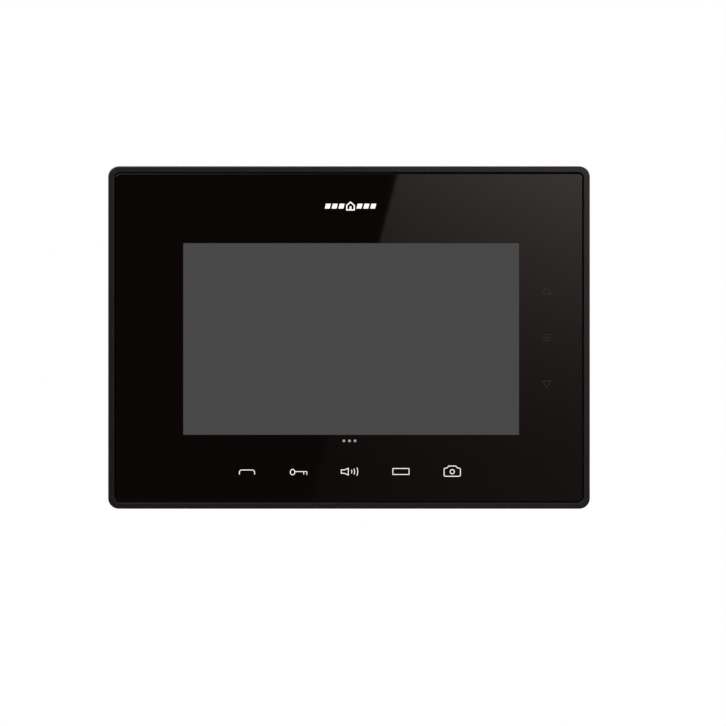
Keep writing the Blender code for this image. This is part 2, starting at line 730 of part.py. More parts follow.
def power_parts():
    """Two electrolytic capacitors and a shielded inductor."""
    for number, x in ((1, -34.0), (2, -22.0)):
        base = [(0.0, ON_BOARD), (4.0, ON_BOARD)]
        groove = [(4.0, 8.0), (3.7, 7.6), (4.0, 7.2)]
        crown = [(4.0, 4.9), (3.5, 4.5), (0.0, 4.5)]
        profile = base + groove + crown
        part(turned(f"capacitor_{number}", profile, (x, 30.0), steps=20), "capacitor_aluminium", 40)
    inductor_outline = rounded_rectangle((12.0, 12.0), 2.0, (56.0, 0.0), 3)
    inductor = prism("power_inductor", [inductor_outline], 4.6, ON_BOARD)
    soften(inductor, 0.5)
    part(inductor, "ferrite")


def terminal_block(name, centre_x, ways):
    """A row of screw clamps: a well for each screw faces the wall, a mouth for each wire faces down."""
    pitch, depth, top = 5.0, 8.2, 2.7
    middle_y = -26.5
    size = (ways * pitch, depth)
    xs = [centre_x + (i - (ways - 1) / 2) * pitch for i in range(ways)]
    block = prism(name, [rectangle(size, (centre_x, middle_y))], top, ON_BOARD)
    wells = prism(f"{name}_wells", [circle(1.7, (x, middle_y + 0.6), 14) for x in xs], top - 1.0, top + 2.6)
    cut(block, wells)
    for i, x in enumerate(xs):
        mouth = prism(f"{name}_mouth_{i}", [rectangle((3.2, 6.0), (x, middle_y - depth / 2))], 5.9, 8.7)
        cut(block, mouth)
    return part(block, "terminal_green")


def terminal_blocks():
    terminal_block("terminal_block_bus", -6.0, 4)
    terminal_block("terminal_block_bell", 12.5, 2)


def dip_switch():
    """The address switch: a body with a slot for each slider, and the sliders that travel up in them."""
    top = 5.4
    slot_size = (DIP_SLIDER[0] + 0.4, DIP_TRAVEL + DIP_SLIDER[1] + 2 * GAP)
    # Numbered from the left as the installer sees them, from behind, so from high x to low x.
    xs = [DIP_CENTRE[0] - (i - (DIP_WAYS - 1) / 2) * DIP_PITCH for i in range(DIP_WAYS)]
    body_outline = rectangle((DIP_WAYS * DIP_PITCH + 1.6, 9.6), DIP_CENTRE)
    body = prism("dip_switch_body", [body_outline], top, ON_BOARD)
    slots = [rectangle(slot_size, (x, DIP_CENTRE[1])) for x in xs]
    cut(body, prism("dip_slots", slots, top - 1.0, top + 1.8))
    part(body, "switch_red")
    rest_y = DIP_CENTRE[1] - DIP_TRAVEL / 2
    for i, x in enumerate(xs):
        slider = prism(f"dip_slider_{i + 1}", [rectangle(DIP_SLIDER, (x, rest_y))], top - 0.7, top + 1.5)
        part(with_origin(slider, (x, rest_y, top)), "white_plastic")


def reset_switch():
    """A small push switch: the button sits in a round well and travels a quarter of a millimetre."""
    top = 6.0
    body = prism("reset_switch_body", [rectangle((6.0, 6.0), RESET_CENTRE)], top, ON_BOARD)
    cut(body, prism("reset_well", [circle(2.1, RESET_CENTRE, 20)], top - 1.0, top + 1.4))
    part(body, "matt_black_plastic")
    profile = [(0.0, 4.7), (1.6, 4.7), (1.7, 4.8), (1.7, 6.9), (0.0, 6.9)]
    button = turned("reset_button", profile, RESET_CENTRE, steps=20)
    part(with_origin(button, (*RESET_CENTRE, top)), "matt_black_plastic", 40)


def board_screws():
    for number, at in enumerate(BOARD_SCREWS, start=1):
        screw(
            f"board_screw_{number}",
            at,
            BOARD_FRONT + 0.25,
            head=(2.4, 1.2),
            shank=(1.0, 6.0),
            material_name="zinc_plated_steel",
            towards=-1,
        )


def lcd_flex():
    """The display's flat cable: out below its lower edge, round the back, and up to its socket."""
    half, edge, front, back = 0.15, -51.2, 16.0, 11.8
    bend = (front + back) / 2
    front_half = [(edge, front), (edge - 1.0, front - 0.2), (edge - 1.4, front - 1.0)]
    back_half = [(edge - 1.4, back + 1.0), (edge - 1.0, back + 0.2), (edge, back), (-40.8, back)]
    near, far = [], []
    for y, z in front_half + back_half:
        inward = -half if z > bend else half
        near.append((y + half, z + inward))
        far.append((y - half, z - inward))
    return part(side_prism("lcd_flex", near + far[::-1], -11.0, 31.0), "amber_film")


# --- Sound --------------------------------------------------------------------------------------


def speaker():
    """A 36 mm loudspeaker that faces the slots in the back; its cone and coil move as one piece."""
    r = SPEAKER_RADIUS
    gasket = [(r - 2.8, 2.8), (r - 0.1, 2.8), (r - 0.1, 3.4), (r - 2.8, 3.4)]
    part(turned("speaker_gasket", gasket, SPEAKER_CENTRE, steps=20), "black_foam", 40)
    basket = [
        (r - 3.1, 3.7),
        (r, 3.7),
        (r, 4.4),
        (r - 1.8, 4.6),
        (r - 6.6, 8.8),
        (r - 11.4, 8.8),
        (r - 11.4, 8.1),
        (r - 7.0, 8.1),
        (r - 3.1, 4.7),
    ]
    part(turned("speaker_frame", basket, SPEAKER_CENTRE, steps=20), "zinc_plated_steel", 40)
    outer_ring = [(0.0, 11.9), (9.5, 11.9), (9.5, 9.1), (5.9, 9.1)]
    coil_gap_and_pole = [(5.9, 11.2), (4.4, 11.2), (4.4, 8.9), (0.0, 8.9)]
    magnet = outer_ring + coil_gap_and_pole
    part(turned("speaker_magnet", magnet, SPEAKER_CENTRE, steps=20), "ferrite", 40)
    cone = [
        (r - 3.6, 4.0),
        (r - 3.6, 4.5),
        (r - 4.4, 3.9),
        (r - 5.5, 3.9),
        (r - 6.2, 4.6),
        (5.4, 7.7),
        (5.4, 10.3),
        (4.9, 10.3),
        (4.9, 6.8),
        (2.8, 6.2),
        (0.0, 5.9),
        (0.0, 5.5),
        (3.0, 5.8),
        (5.2, 6.4),
        (r - 6.3, 4.0),
        (r - 5.7, 3.4),
        (r - 4.2, 3.4),
    ]
    moving = turned("speaker_cone", cone, SPEAKER_CENTRE, steps=20)
    part(with_origin(moving, (*SPEAKER_CENTRE, 4.0)), "paper_cone", 40)


def microphone():
    """An electret capsule in a rubber boot, facing a hole in the bottom of the housing."""
    boot_profile = [(0.9, 0.0), (4.1, 0.0), (4.1, 4.6), (3.4, 4.6), (3.4, 1.2), (0.9, 1.2)]
    capsule_profile = [(0.0, 1.5), (3.1, 1.5), (3.1, 4.2), (0.0, 4.2)]
    for name, profile, material_name in (
        ("microphone_boot", boot_profile, "black_rubber"),
        ("microphone", capsule_profile, "capacitor_aluminium"),
    ):
        piece = on_microphone_axis(turned(name, profile, steps=20), HOUSING_BOTTOM + HOUSING_WALL + GAP)
        part(piece, material_name, 40)


def leads():
    """The twin leads inside: each runs from its part to its own socket on the main board's back."""
    speaker_x, speaker_y = SOCKETS["speaker"]
    mic_x, mic_y = SOCKETS["microphone"]
    row_x, row_y = SOCKETS["bottom_keys"]
    side_x, side_y = SOCKETS["side_keys"]
    routes = {
        "speaker_lead": [
            (speaker_x - 19.2, speaker_y + 1.0, 7.2),
            (speaker_x - 15.0, speaker_y - 1.0, 7.4),
            (speaker_x - 11.0, speaker_y - 3.0, 7.4),
            (speaker_x - 7.0, speaker_y - 1.6, 7.4),
            (speaker_x - 3.9, speaker_y, 7.4),
        ],
        "microphone_lead": [
            (MICROPHONE[0], -69.0, 8.2),
            (MICROPHONE[0] + 1.0, -62.0, 8.0),
            (mic_x - 2.0, -52.0, 7.6),
            (mic_x, -45.0, 7.4),
            (mic_x, mic_y - 2.9, 7.4),
        ],
        "bottom_keys_lead": [
            (row_x, -60.0, TOUCH_BOARD_BACK - 0.4),
            (row_x, -59.6, 13.6),
            (row_x, -56.0, 10.4),
            (row_x, -50.0, 8.0),
            (row_x, -45.0, 7.4),
            (row_x, row_y - 2.9, 7.4),
        ],
        "side_keys_lead": [
            (94.2, side_y, TOUCH_BOARD_BACK - 0.4),
            (94.2, side_y, 13.0),
            (91.5, side_y, 9.8),
            (84.0, side_y, 8.2),
            (75.0, side_y, 7.5),
            (side_x + 3.9, side_y, 7.4),
        ],
    }
    for name, corners in routes.items():
        part(tube(name, smooth_route(corners, 2), 1.4), "black_rubber")


def housing_screws():
    for number, at in enumerate(HOUSING_SCREWS, start=1):
        screw(
            f"housing_screw_{number}",
            at,
            12.2,
            head=(2.7, 1.9),
            shank=(1.3, 6.8),
            material_name="black_screw_steel",
        )


def main():
    for obj in list(bpy.data.objects):
        bpy.data.objects.remove(obj)
    axes = bpy.data.objects.new("panel_axes", None)
    axes.rotation_euler = (math.radians(90), 0, 0)
    bpy.context.scene.collection.objects.link(axes)

    wall_bracket()
    rear_housing()
    front_frame()
    front_glass()
    glass_tape()
    lcd_parts()
    lcd_retainers()
    touch_boards()
    touch_springs()
    main_board()
    heatsink()
    power_parts()
    terminal_blocks()
    dip_switch()
    reset_switch()
    board_screws()
    lcd_flex()
    speaker()
    microphone()
    leads()
    housing_screws()


main()
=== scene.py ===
"""Looks of the video intercom monitor: a black glass touch panel in a thin rim, hung on a wall bracket.

Shapes are drawn in panel coordinates, in millimetres: X to the right, Y up the panel, Z out of the
wall towards the viewer. In the world +Z is up and the glass faces -Y. Places come from the frame.
"""

import json
import math

import bmesh
import bpy
from mathutils import Matrix, Vector
from mathutils.geometry import tessellate_polygon

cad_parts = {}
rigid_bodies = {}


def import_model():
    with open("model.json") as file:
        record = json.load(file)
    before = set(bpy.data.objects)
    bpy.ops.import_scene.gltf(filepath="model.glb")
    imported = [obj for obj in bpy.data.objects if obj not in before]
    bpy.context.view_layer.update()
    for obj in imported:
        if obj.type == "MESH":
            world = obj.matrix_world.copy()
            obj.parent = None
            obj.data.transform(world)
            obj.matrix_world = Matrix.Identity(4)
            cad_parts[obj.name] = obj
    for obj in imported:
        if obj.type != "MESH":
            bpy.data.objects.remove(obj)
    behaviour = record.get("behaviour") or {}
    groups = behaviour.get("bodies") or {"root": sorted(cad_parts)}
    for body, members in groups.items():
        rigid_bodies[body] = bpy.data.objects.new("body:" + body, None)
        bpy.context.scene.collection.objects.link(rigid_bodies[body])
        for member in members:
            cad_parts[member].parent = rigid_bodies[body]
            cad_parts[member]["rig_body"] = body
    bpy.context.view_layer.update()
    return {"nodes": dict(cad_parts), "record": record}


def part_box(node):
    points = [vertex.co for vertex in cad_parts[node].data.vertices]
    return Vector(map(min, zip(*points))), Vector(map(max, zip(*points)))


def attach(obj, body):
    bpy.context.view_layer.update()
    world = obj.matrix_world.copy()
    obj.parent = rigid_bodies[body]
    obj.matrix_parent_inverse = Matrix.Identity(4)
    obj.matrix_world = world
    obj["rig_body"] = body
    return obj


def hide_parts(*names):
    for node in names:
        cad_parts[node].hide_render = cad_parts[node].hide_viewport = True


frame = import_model()

MM = 0.001
MONITOR = "monitor"
BRACKET = "wall_mount"
SLOTS = {entry["node"]: entry["material_slot"] for entry in frame["record"]["subparts"]}


def panel_box(node):
    """A CAD node's lowest and highest corners, in panel coordinates."""
    low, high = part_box(node)
    return Vector((low.x, low.z, -high.y)) / MM, Vector((high.x, high.z, -low.y)) / MM


def node_centre(node):
    low, high = panel_box(node)
    return ((low.x + high.x) / 2, (low.y + high.y) / 2)


def node_size(node):
    low, high = panel_box(node)
    return (high.x - low.x, high.y - low.y)


PANEL_SIZE = node_size("front_frame")
FRONT = panel_box("front_frame")[1].z
GLASS_SIZE = node_size("front_glass")
GLASS_BACK, GLASS_FRONT = (corner.z for corner in panel_box("front_glass"))
SCREEN_CENTRE = node_centre("lcd_bezel")
SCREEN_SIZE = (156.77, 89.46)  # the clear window of a 7-inch panel
FRAME_BACK = 15.0
RIM = 2.9
RIM_RADIUS = 5.0
POCKET_RADIUS = 2.8
GLASS_RADIUS = 2.3

# --- Outlines ---

MITRE_LIMIT = 0.35  # the cosine of half the sharpest turn that keeps its full tip


def grown(size, by):
    """A size with by added on each side."""
    return (size[0] + 2 * by, size[1] + 2 * by)


def rectangle(size, centre=(0.0, 0.0)):
    half_x, half_y = size[0] / 2, size[1] / 2
    signs = ((-1, -1), (1, -1), (1, 1), (-1, 1))
    return [(centre[0] + sx * half_x, centre[1] + sy * half_y) for sx, sy in signs]


def rounded_rectangle(size, radius, centre=(0.0, 0.0), steps=12):
    points = []
    for quarter, (sx, sy) in enumerate(((1, -1), (1, 1), (-1, 1), (-1, -1))):
        x = centre[0] + sx * (size[0] / 2 - radius)
        y = centre[1] + sy * (size[1] / 2 - radius)
        points += arc((x, y), radius, 90 * (quarter - 1), 90 * quarter, steps)
    return points


def arc(centre, radius, start, end, steps=12, stretch=(1.0, 1.0)):
    """Points along an arc, its angles in degrees."""
    points = []
    for step in range(steps + 1):
        angle = math.radians(start + (end - start) * step / steps)
        x = centre[0] + radius * stretch[0] * math.cos(angle)
        y = centre[1] + radius * stretch[1] * math.sin(angle)
        points.append((x, y))
    return points


def circle(radius, centre=(0.0, 0.0), steps=40):
    return arc(centre, radius, 0, 360 - 360 / steps, steps - 1)


def stadium(size, centre, upright=False):
    """A slot's outline: two half circles joined by straight sides. Its size is (length, width)."""
    reach, radius = (size[0] - size[1]) / 2, size[1] / 2
    points = arc((reach, 0.0), radius, -90, 90, 10) + arc((-reach, 0.0), radius, 90, 270, 10)
    if upright:
        points = [(-y, x) for x, y in points]
    return moved(points, centre)


def moved(path, centre):
    return [(centre[0] + x, centre[1] + y) for x, y in path]


def frame_of(size, centre, line):
    """The two outlines of a thin rectangular line."""
    return [rectangle(size, centre), rectangle(grown(size, -line), centre)]


def rounded_path(path, radii, steps=4):
    """An open path with each inner corner rounded to its radius, where that is over 0."""
    points = [path[0]]
    for before, corner, after, radius in zip(path, path[1:], path[2:], radii):
        here = Vector(corner)
        into = (here - Vector(before)).normalized()
        turn = into.angle_signed(Vector(after) - here)
        if not radius or abs(turn) < 0.01:
            points.append(corner)
            continue
        spoke = Vector((into.y, -into.x)) * -math.copysign(radius, turn)
        middle = here - into * radius * math.tan(abs(turn) / 2) - spoke
        for step in range(steps + 1):
            turned_spoke = spoke.copy()
            turned_spoke.rotate(Matrix.Rotation(-turn * step / steps, 2))
            points.append(tuple(middle + turned_spoke))
    return [*points, path[-1]]


def offset(path, distance, closed=True):
    """A path moved to its left by distance, its corners mitred and the tips of very sharp ones cut."""
    count = len(path)
    points = []
    for i, point in enumerate(path):
        here = Vector(point)
        into = (here - Vector(path[i - 1])).normalized() if closed or i else None
        out = (Vector(path[(i + 1) % count]) - here).normalized() if closed or i < count - 1 else into
        into = out if into is None else into
        normal = Vector((-into.y - out.y, into.x + out.x)).normalized()
        reach = distance / max(MITRE_LIMIT, normal.dot(Vector((-into.y, into.x))))
        points.append(tuple(here + normal * reach))
    return points


def stroke(path, width, closed=False):
    """The outline or outlines of a line of even width along path."""
    left, right = (offset(path, half, closed) for half in (width / 2, -width / 2))
    return [left, right] if closed else [left + right[::-1]]


def shrunk(outlines, inset):
    """The outlines moved by inset into the material; the first goes round it and the others are holes."""
    if not inset:
        return outlines
    return [offset(outlines[0], inset), *(offset(hole, -inset) for hole in outlines[1:])]


# --- Meshes ---


def to_world(x, y, z):
    return (x * MM, -z * MM, y * MM)


def linked(name, data):
    """A new object in the scene."""
    obj = bpy.data.objects.new(name, data)
    bpy.context.scene.collection.objects.link(obj)
    return obj


def raw_mesh(name, points, faces):
    """A mesh from panel coordinates, just as given."""
    mesh = bpy.data.meshes.new(name)
    mesh.from_pydata([to_world(*point) for point in points], [], faces)
    return mesh


def mesh_object(name, points, faces):
    """An object from panel coordinates, with shared points joined and its faces turned outwards."""
    mesh = raw_mesh(name, points, faces)
    work = bmesh.new()
    work.from_mesh(mesh)
    bmesh.ops.remove_doubles(work, verts=work.verts, dist=1e-7)
    bmesh.ops.recalc_face_normals(work, faces=work.faces)
    work.to_mesh(mesh)
    work.free()
    return linked(name, mesh)


def loft_data(sections):
    """Points and side faces of a skin through outlines of equal length at the given heights."""
    count = len(sections[0][0])
    points = [(x, y, z) for outline, z in sections for x, y in outline]
    faces = []
    for start in range(0, (len(sections) - 1) * count, count):
        faces += band(start, count, count)
    return points, faces


def band(start, count, rise):
    """Faces between a loop of count points from start and the same loop rise points later."""
    pairs = [(start + i, start + (i + 1) % count) for i in range(count)]
    return [(a, b, b + rise, a + rise) for a, b in pairs]


def filled(outlines):
    """Triangles between outlines and the holes in them, as indices of their points."""
    return tessellate_polygon([[Vector((x, y, 0)) for x, y in outline] for outline in outlines])


def prism(name, outlines, low, high, axis="Z", ease=0.0):
    """Straight-sided solids from low to high along an axis; an outline inside another is a hole in it.

    Outlines are drawn in X and Y along Z, in X and Z along Y, and in Y and Z along X. All edges of the two
    ends are rounded off by ease, which takes anticlockwise outlines, the outer one first.
    """
    rings = [(0.0, low), (0.0, high)]
    if ease:
        bend = 0.3 * ease
        rings = [(ease, low), (bend, low + bend), (0.0, low + ease)]
        rings += [(inset, low + high - z) for inset, z in reversed(rings)]
    sections = [(shrunk(outlines, inset), z) for inset, z in rings]
    count = sum(len(outline) for outline in outlines)
    last = (len(rings) - 1) * count
    caps = filled(sections[0][0])
    faces = [tuple(cap) for cap in caps] + [tuple(i + last for i in cap) for cap in caps]
    start = 0
    for _ in rings[1:]:
        for outline in outlines:
            faces += band(start, len(outline), count)
            start += len(outline)
    order = {"Z": (0, 1, 2), "Y": (0, 2, 1), "X": (2, 0, 1)}[axis]
    points = [(u, v, w) for level, w in sections for outline in level for u, v in outline]
    return mesh_object(name, [tuple(point[i] for i in order) for point in points], faces)


def solid_loft(name, sections):
    """A closed solid through outlines of equal length, with a flat cap at each end."""
    points, faces = loft_data(sections)
    count = len(sections[0][0])
    faces += [tuple(range(count)), tuple(range(len(points) - count, len(points)))]
    return mesh_object(name, points, faces)


def eased_cutter(outline_at, surface, deep, ease=0.3):
    """Cuts from the surface to deep and eases the hole's edge; outline_at(grow) is its outline."""
    past = 0.2
    step = math.copysign(1.0, deep - surface)
    sections = [
        (outline_at(ease + past), surface - step * past),
        (outline_at(0.0), surface + step * ease),
        (outline_at(0.0), deep),
    ]
    return solid_loft("cutter", sections)


def merged(name, parts):
    """Several objects made one mesh; they may not touch each other."""
    work = bmesh.new()
    for part in parts:
        work.from_mesh(part.data)
        bpy.data.objects.remove(part)
    mesh = bpy.data.meshes.new(name)
    work.to_mesh(mesh)
    work.free()
    return linked(name, mesh)


def prisms(name, shapes, low, high, axis="Z"):
    """One object of several prisms; each shape is a list of outlines."""
    return merged(name, [prism("part", shape, low, high, axis) for shape in shapes])


def turned(name, profile, centre, steps):
    """A solid of revolution about a line along Z; its profile of (radius, z) starts and ends on the line."""
    return mesh_object(name, *loft_data([(circle(radius, centre, steps), z) for radius, z in profile]))


def smooth(obj, angle):
    """Shades smooth below the angle. Large flat faces stay flat, and those between take the bend."""
    mesh = obj.data
    mesh.shade_smooth()
    work = bmesh.new()
    work.from_mesh(mesh)
    work.faces.ensure_lookup_table()
    weights = [(face.calc_area() / MM**2) ** 2 * face.normal for face in work.faces]
    corners = {}
    for vert in work.verts:
        for fan in fans(vert, math.radians(angle)):
            normal = sum((weights[face.index] for face in fan), Vector()).normalized()
            for face in fan:
                corners[face.index, vert.index] = normal
    work.free()
    loops = [(face.index, mesh.loops[i].vertex_index) for face in mesh.polygons for i in face.loop_indices]
    mesh.normals_split_custom_set([corners[loop] for loop in loops])
    return obj


def fans(vert, angle):
    """The faces round a vertex, in groups that meet at less than the angle."""
    left = set(vert.link_faces)
    while left:
        fan = [left.pop()]
        for face in fan:
            for edge in face.edges:
                if vert in edge.verts and edge.calc_face_angle(math.pi) < angle:
                    near = left.intersection(edge.link_faces)
                    left -= near
                    fan.extend(near)
        yield fan


def boolean(obj, *tools, operation="DIFFERENCE"):
    """Cuts or joins each tool in turn and removes it."""
    for tool in tools:
        step = obj.modifiers.new("boolean", "BOOLEAN")
        step.object = tool
        step.operation = operation
        step.solver = "EXACT"
        evaluated = obj.evaluated_get(bpy.context.evaluated_depsgraph_get())
        mesh = bpy.data.meshes.new_from_object(evaluated)
        obj.modifiers.clear()
        obj.data = mesh
        bpy.data.objects.remove(tool)
    return obj


def refined(node, material, bevel=0.0, shortest=0.0):
    """A copy of a CAD node with its facets merged, its longer edges broken and round faces smooth.

    bevel is the edge's width in millimetres, on edges of at least the length given by shortest.
    """
    source = frame["nodes"][node]
    copy = linked(node + "_shape", source.data.copy())
    work = bmesh.new()
    work.from_mesh(copy.data)
    bmesh.ops.remove_doubles(work, verts=work.verts, dist=2e-6)
    bmesh.ops.dissolve_limit(work, angle_limit=math.radians(0.6), verts=work.verts, edges=work.edges)
    if bevel:
        chosen = [edge for edge in work.edges if is_sharp(edge) and edge.calc_length() >= shortest * MM]
        bmesh.ops.bevel(work, geom=chosen, offset=bevel * MM, segments=2, profile=0.5, affect="EDGES")
    work.to_mesh(copy.data)
    work.free()
    smooth(copy, 35 if bevel else 38)
    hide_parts(node)
    return placed(copy, material, SLOTS[node], source["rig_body"])


def is_sharp(edge, least=28):
    return len(edge.link_faces) == 2 and edge.calc_face_angle(0.0) > math.radians(least)


def placed(obj, material, slot, body=MONITOR):
    """Gives a finished piece its material and the body it rides on; slot is not used."""
    obj.data.materials.clear()
    obj.data.materials.append(material)
    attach(obj, body)
    return obj


# --- Materials ---


EVEN = (1.0, 1.0, 1.0)
DRAWN_ALONG_X = (20.0, 1.0, 1.0)
DRAWN_ALONG_Z = (1.0, 1.0, 20.0)


def scaled(colour, by):
    return tuple(channel * by for channel in colour)


class Nodes:
    """The node tree of a material or a world, with short ways to add to it."""

    def __init__(self, owner):
        owner.use_nodes = True
        self.tree = owner.node_tree

    def put(self, socket, value):
        """Wires another socket to this one, or sets its value; colours are given without their alpha."""
        if isinstance(value, bpy.types.NodeSocket):
            self.tree.links.new(value, socket)
        else:
            socket.default_value = (*value, 1.0) if socket.type == "RGBA" else value

    def node(self, kind, values=(), **settings):
        made = self.tree.nodes.new(kind)
        for setting, value in settings.items():
            setattr(made, setting, value)
        for socket, value in dict(values).items():
            self.put(made.inputs[socket], value)
        return made

    def math(self, operation, first, second):
        return self.node("ShaderNodeMath", {0: first, 1: second}, operation=operation).outputs[0]

    def spread(self, source, low, high, from_low=0.3, from_high=0.7, **settings):
        """Maps a value from from_low ... from_high, a noise's middle range, to low ... high."""
        values = {"Value": source, "From Min": from_low, "From Max": from_high, "To Min": low, "To Max": high}
        return self.node("ShaderNodeMapRange", values, **settings).outputs["Result"]

    def mix(self, factor, low, high):
        """A colour from low to high; each is a colour or a socket."""
        values = {"Factor": factor, 6: low, 7: high}
        return self.node("ShaderNodeMix", values, data_type="RGBA").outputs[2]


class Finish(Nodes):
    """A Principled material built up in object coordinates; lengths are given in millimetres."""

    def __init__(self, name, colour, roughness, **sockets):
        self.material = bpy.data.materials.new(name)
        super().__init__(self.material)
        self.shader = self.tree.nodes["Principled BSDF"]
        self.colour = colour
        self.roughness = roughness
        self.place = self.node("ShaderNodeTexCoord").outputs["Object"]
        self.set(Base_Color=colour, Roughness=roughness, **sockets)

    def set(self, **sockets):
        """Sets or wires sockets of the shader; an underscore in a name stands for a space."""
        for name, value in sockets.items():
            self.put(self.shader.inputs[name.replace("_", " ")], value)
        return self

    def texture(self, kind, size, stretch=EVEN, **settings):
        """A texture whose patches are about size across, drawn out by stretch along each axis."""
        scale = [1.0 / (size * MM * s) for s in stretch]
        mapping = self.node("ShaderNodeMapping", {"Vector": self.place, "Scale": scale})
        return self.node(kind, {"Vector": mapping.outputs[0], "Scale": 1.0}, **settings)

    def noise(self, size, detail=2.0, stretch=EVEN):
        made = self.texture("ShaderNodeTexNoise", size, stretch)
        made.inputs["Detail"].default_value = detail
        return made.outputs["Fac"]

    def mottled(self, size, amount):
        """Colour that wanders by amount, as a share, either side of the finish's own."""
        factor = self.spread(self.noise(size, 3.0), 0.0, 1.0)
        low, high = scaled(self.colour, 1 - amount), scaled(self.colour, 1 + amount)
        return self.set(Base_Color=self.mix(factor, low, high))

    def uneven(self, size, amount, stretch=EVEN):
        """Roughness that wanders by amount either side of the finish's own."""
        source = self.noise(size, 3.0, stretch)
        return self.set(Roughness=self.spread(source, self.roughness - amount, self.roughness + amount))

    def bumped(self, source, depth):
        bump = self.node("ShaderNodeBump", {"Strength": 1.0, "Distance": depth * MM, "Height": source})
        return self.set(Normal=bump.outputs["Normal"])


def plain(name, colour, roughness, mottle, gloss=None, grain=None, **sockets):
    """A finish of few parts: mottle and gloss are (size, amount), and grain is (size, detail, depth).

    A stretch may follow in gloss and grain.
    """
    finish = Finish(name, colour, roughness, **sockets)
    finish.mottled(*mottle)
    if gloss:
        finish.uneven(*gloss)
    if grain:
        size, detail, depth, *stretch = grain
        finish.bumped(finish.noise(size, detail, *stretch), depth)
    return finish.material


def moulded(name, colour, roughness, grain=0.35, depth=0.012, patch=14.0, shade=0.12):
    """Moulded plastic: spark-eroded grain, and a slow wander of shade and gloss."""
    return plain(name, colour, roughness, (patch, shade), (patch / 2, 0.05), (grain, 4.0, depth))


def metal(name, colour, roughness, drawn=EVEN, grain=0.2, depth=0.004, shade=0.08):
    """Metal with fine marks drawn out along the axis whose stretch is large."""
    gloss, marks = (grain * 3, 0.08, drawn), (grain, 3.0, depth, drawn)
    return plain(name, colour, roughness, (6.0, shade), gloss, marks, Metallic=1.0)


def zinc_plate():
    """Zinc plated sheet: fine rolling marks along X, and a faint blue and yellow bloom."""
    finish = Finish("zinc_plate", (0.56, 0.56, 0.55), 0.36, Metallic=1.0)
    bloom = finish.spread(finish.noise(22.0, 2.0), 0.0, 1.0)
    tint = finish.mix(bloom, (0.53, 0.55, 0.57), (0.60, 0.585, 0.55))
    stain = finish.spread(finish.noise(5.0, 4.0), 0.0, 0.18)
    finish.set(Base_Color=finish.mix(stain, tint, (0.42, 0.43, 0.44)))
    rolled = (40.0, 1.0, 1.0)
    finish.uneven(0.3, 0.06, rolled)
    finish.bumped(finish.noise(0.18, 2.0, rolled), 0.0012)
    return finish.material


def black_glass():
    """Glass printed black behind: almost a mirror, with the faintest haze of handling."""
    finish = Finish("printed_black_glass", (0.0040, 0.0021, 0.0021), 0.022, IOR=1.5)
    finish.mottled(60.0, 0.06)
    haze = finish.noise(34.0, 4.0)
    return finish.set(Roughness=finish.spread(haze, 0.016, 0.034)).material


def screen_with_painted_glow():
    """The display's idle grey behind an anti-glare film, given as a painted glow: emission makes the grey,
    not the lamps. Pixel rows too fine to see one by one.
    """
    grey = (0.0648, 0.0648, 0.0648)
    finish = Finish("idle_screen_painted_glow", (0.004, 0.004, 0.004), 0.55)
    # painted glow: the idle screen is no lamp, yet its grey is emitted
    finish.set(Specular_IOR_Level=0.08, Emission_Strength=0.92)
    rows = finish.spread(finish.noise(0.4, 0.0, (1.0, 1.0, 0.2)), 0.0, 1.0)
    finish.set(Emission_Color=finish.mix(rows, scaled(grey, 0.985), scaled(grey, 1.015)))
    finish.bumped(finish.noise(0.15, 2.0), 0.002)
    return finish.material


def lit_print(name, colour, strength):
    """A window in the print with a lamp behind it: even light with a soft fall-off in patches."""
    finish = Finish(name, (0.02, 0.02, 0.02), 0.3, Emission_Strength=strength)
    patches = finish.spread(finish.noise(2.2, 1.0), 0.0, 1.0)
    return finish.set(Emission_Color=finish.mix(patches, scaled(colour, 0.94), colour)).material


def solder_resist():
    """Circuit board: green resist, lighter over the copper, which lies in islands with straight sides."""
    finish = Finish("circuit_board", (0.007, 0.075, 0.028), 0.30)
    second, first = (
        finish.texture("ShaderNodeTexVoronoi", 7.0, distance="CHEBYCHEV", feature=feature)
        for feature in ("F2", "F1")
    )
    gap = finish.math("SUBTRACT", second.outputs["Distance"], first.outputs["Distance"])
    copper = finish.spread(gap, 0.0, 1.0, 0.05, 0.08)
    runs = finish.mix(copper, (0.005, 0.050, 0.020), (0.010, 0.105, 0.038))
    cloud = finish.spread(finish.noise(2.0, 2.0), 0.0, 0.25)
    finish.set(Base_Color=finish.mix(cloud, runs, (0.006, 0.060, 0.024)))
    finish.uneven(3.0, 0.05)
    finish.bumped(copper, 0.03)
    return finish.material


def foam():
    """Closed-cell foam, pitted on its cut faces."""
    finish = Finish("black_foam", (0.02, 0.02, 0.02), 0.92)
    finish.mottled(2.0, 0.2)
    finish.bumped(finish.texture("ShaderNodeTexVoronoi", 0.3).outputs["Distance"], 0.06)
    return finish.material


def amber_film():
    """Flat cable: copper runs under polyimide film."""
    finish = Finish("amber_film", (0.42, 0.17, 0.03), 0.3)
    waves = finish.node("ShaderNodeTexWave", {"Vector": finish.place, "Scale": 160.0}, bands_direction="X")
    finish.set(Base_Color=finish.mix(waves.outputs["Fac"], (0.30, 0.11, 0.02), (0.60, 0.27, 0.06)))
    finish.bumped(waves.outputs["Fac"], 0.02)
    return finish.material


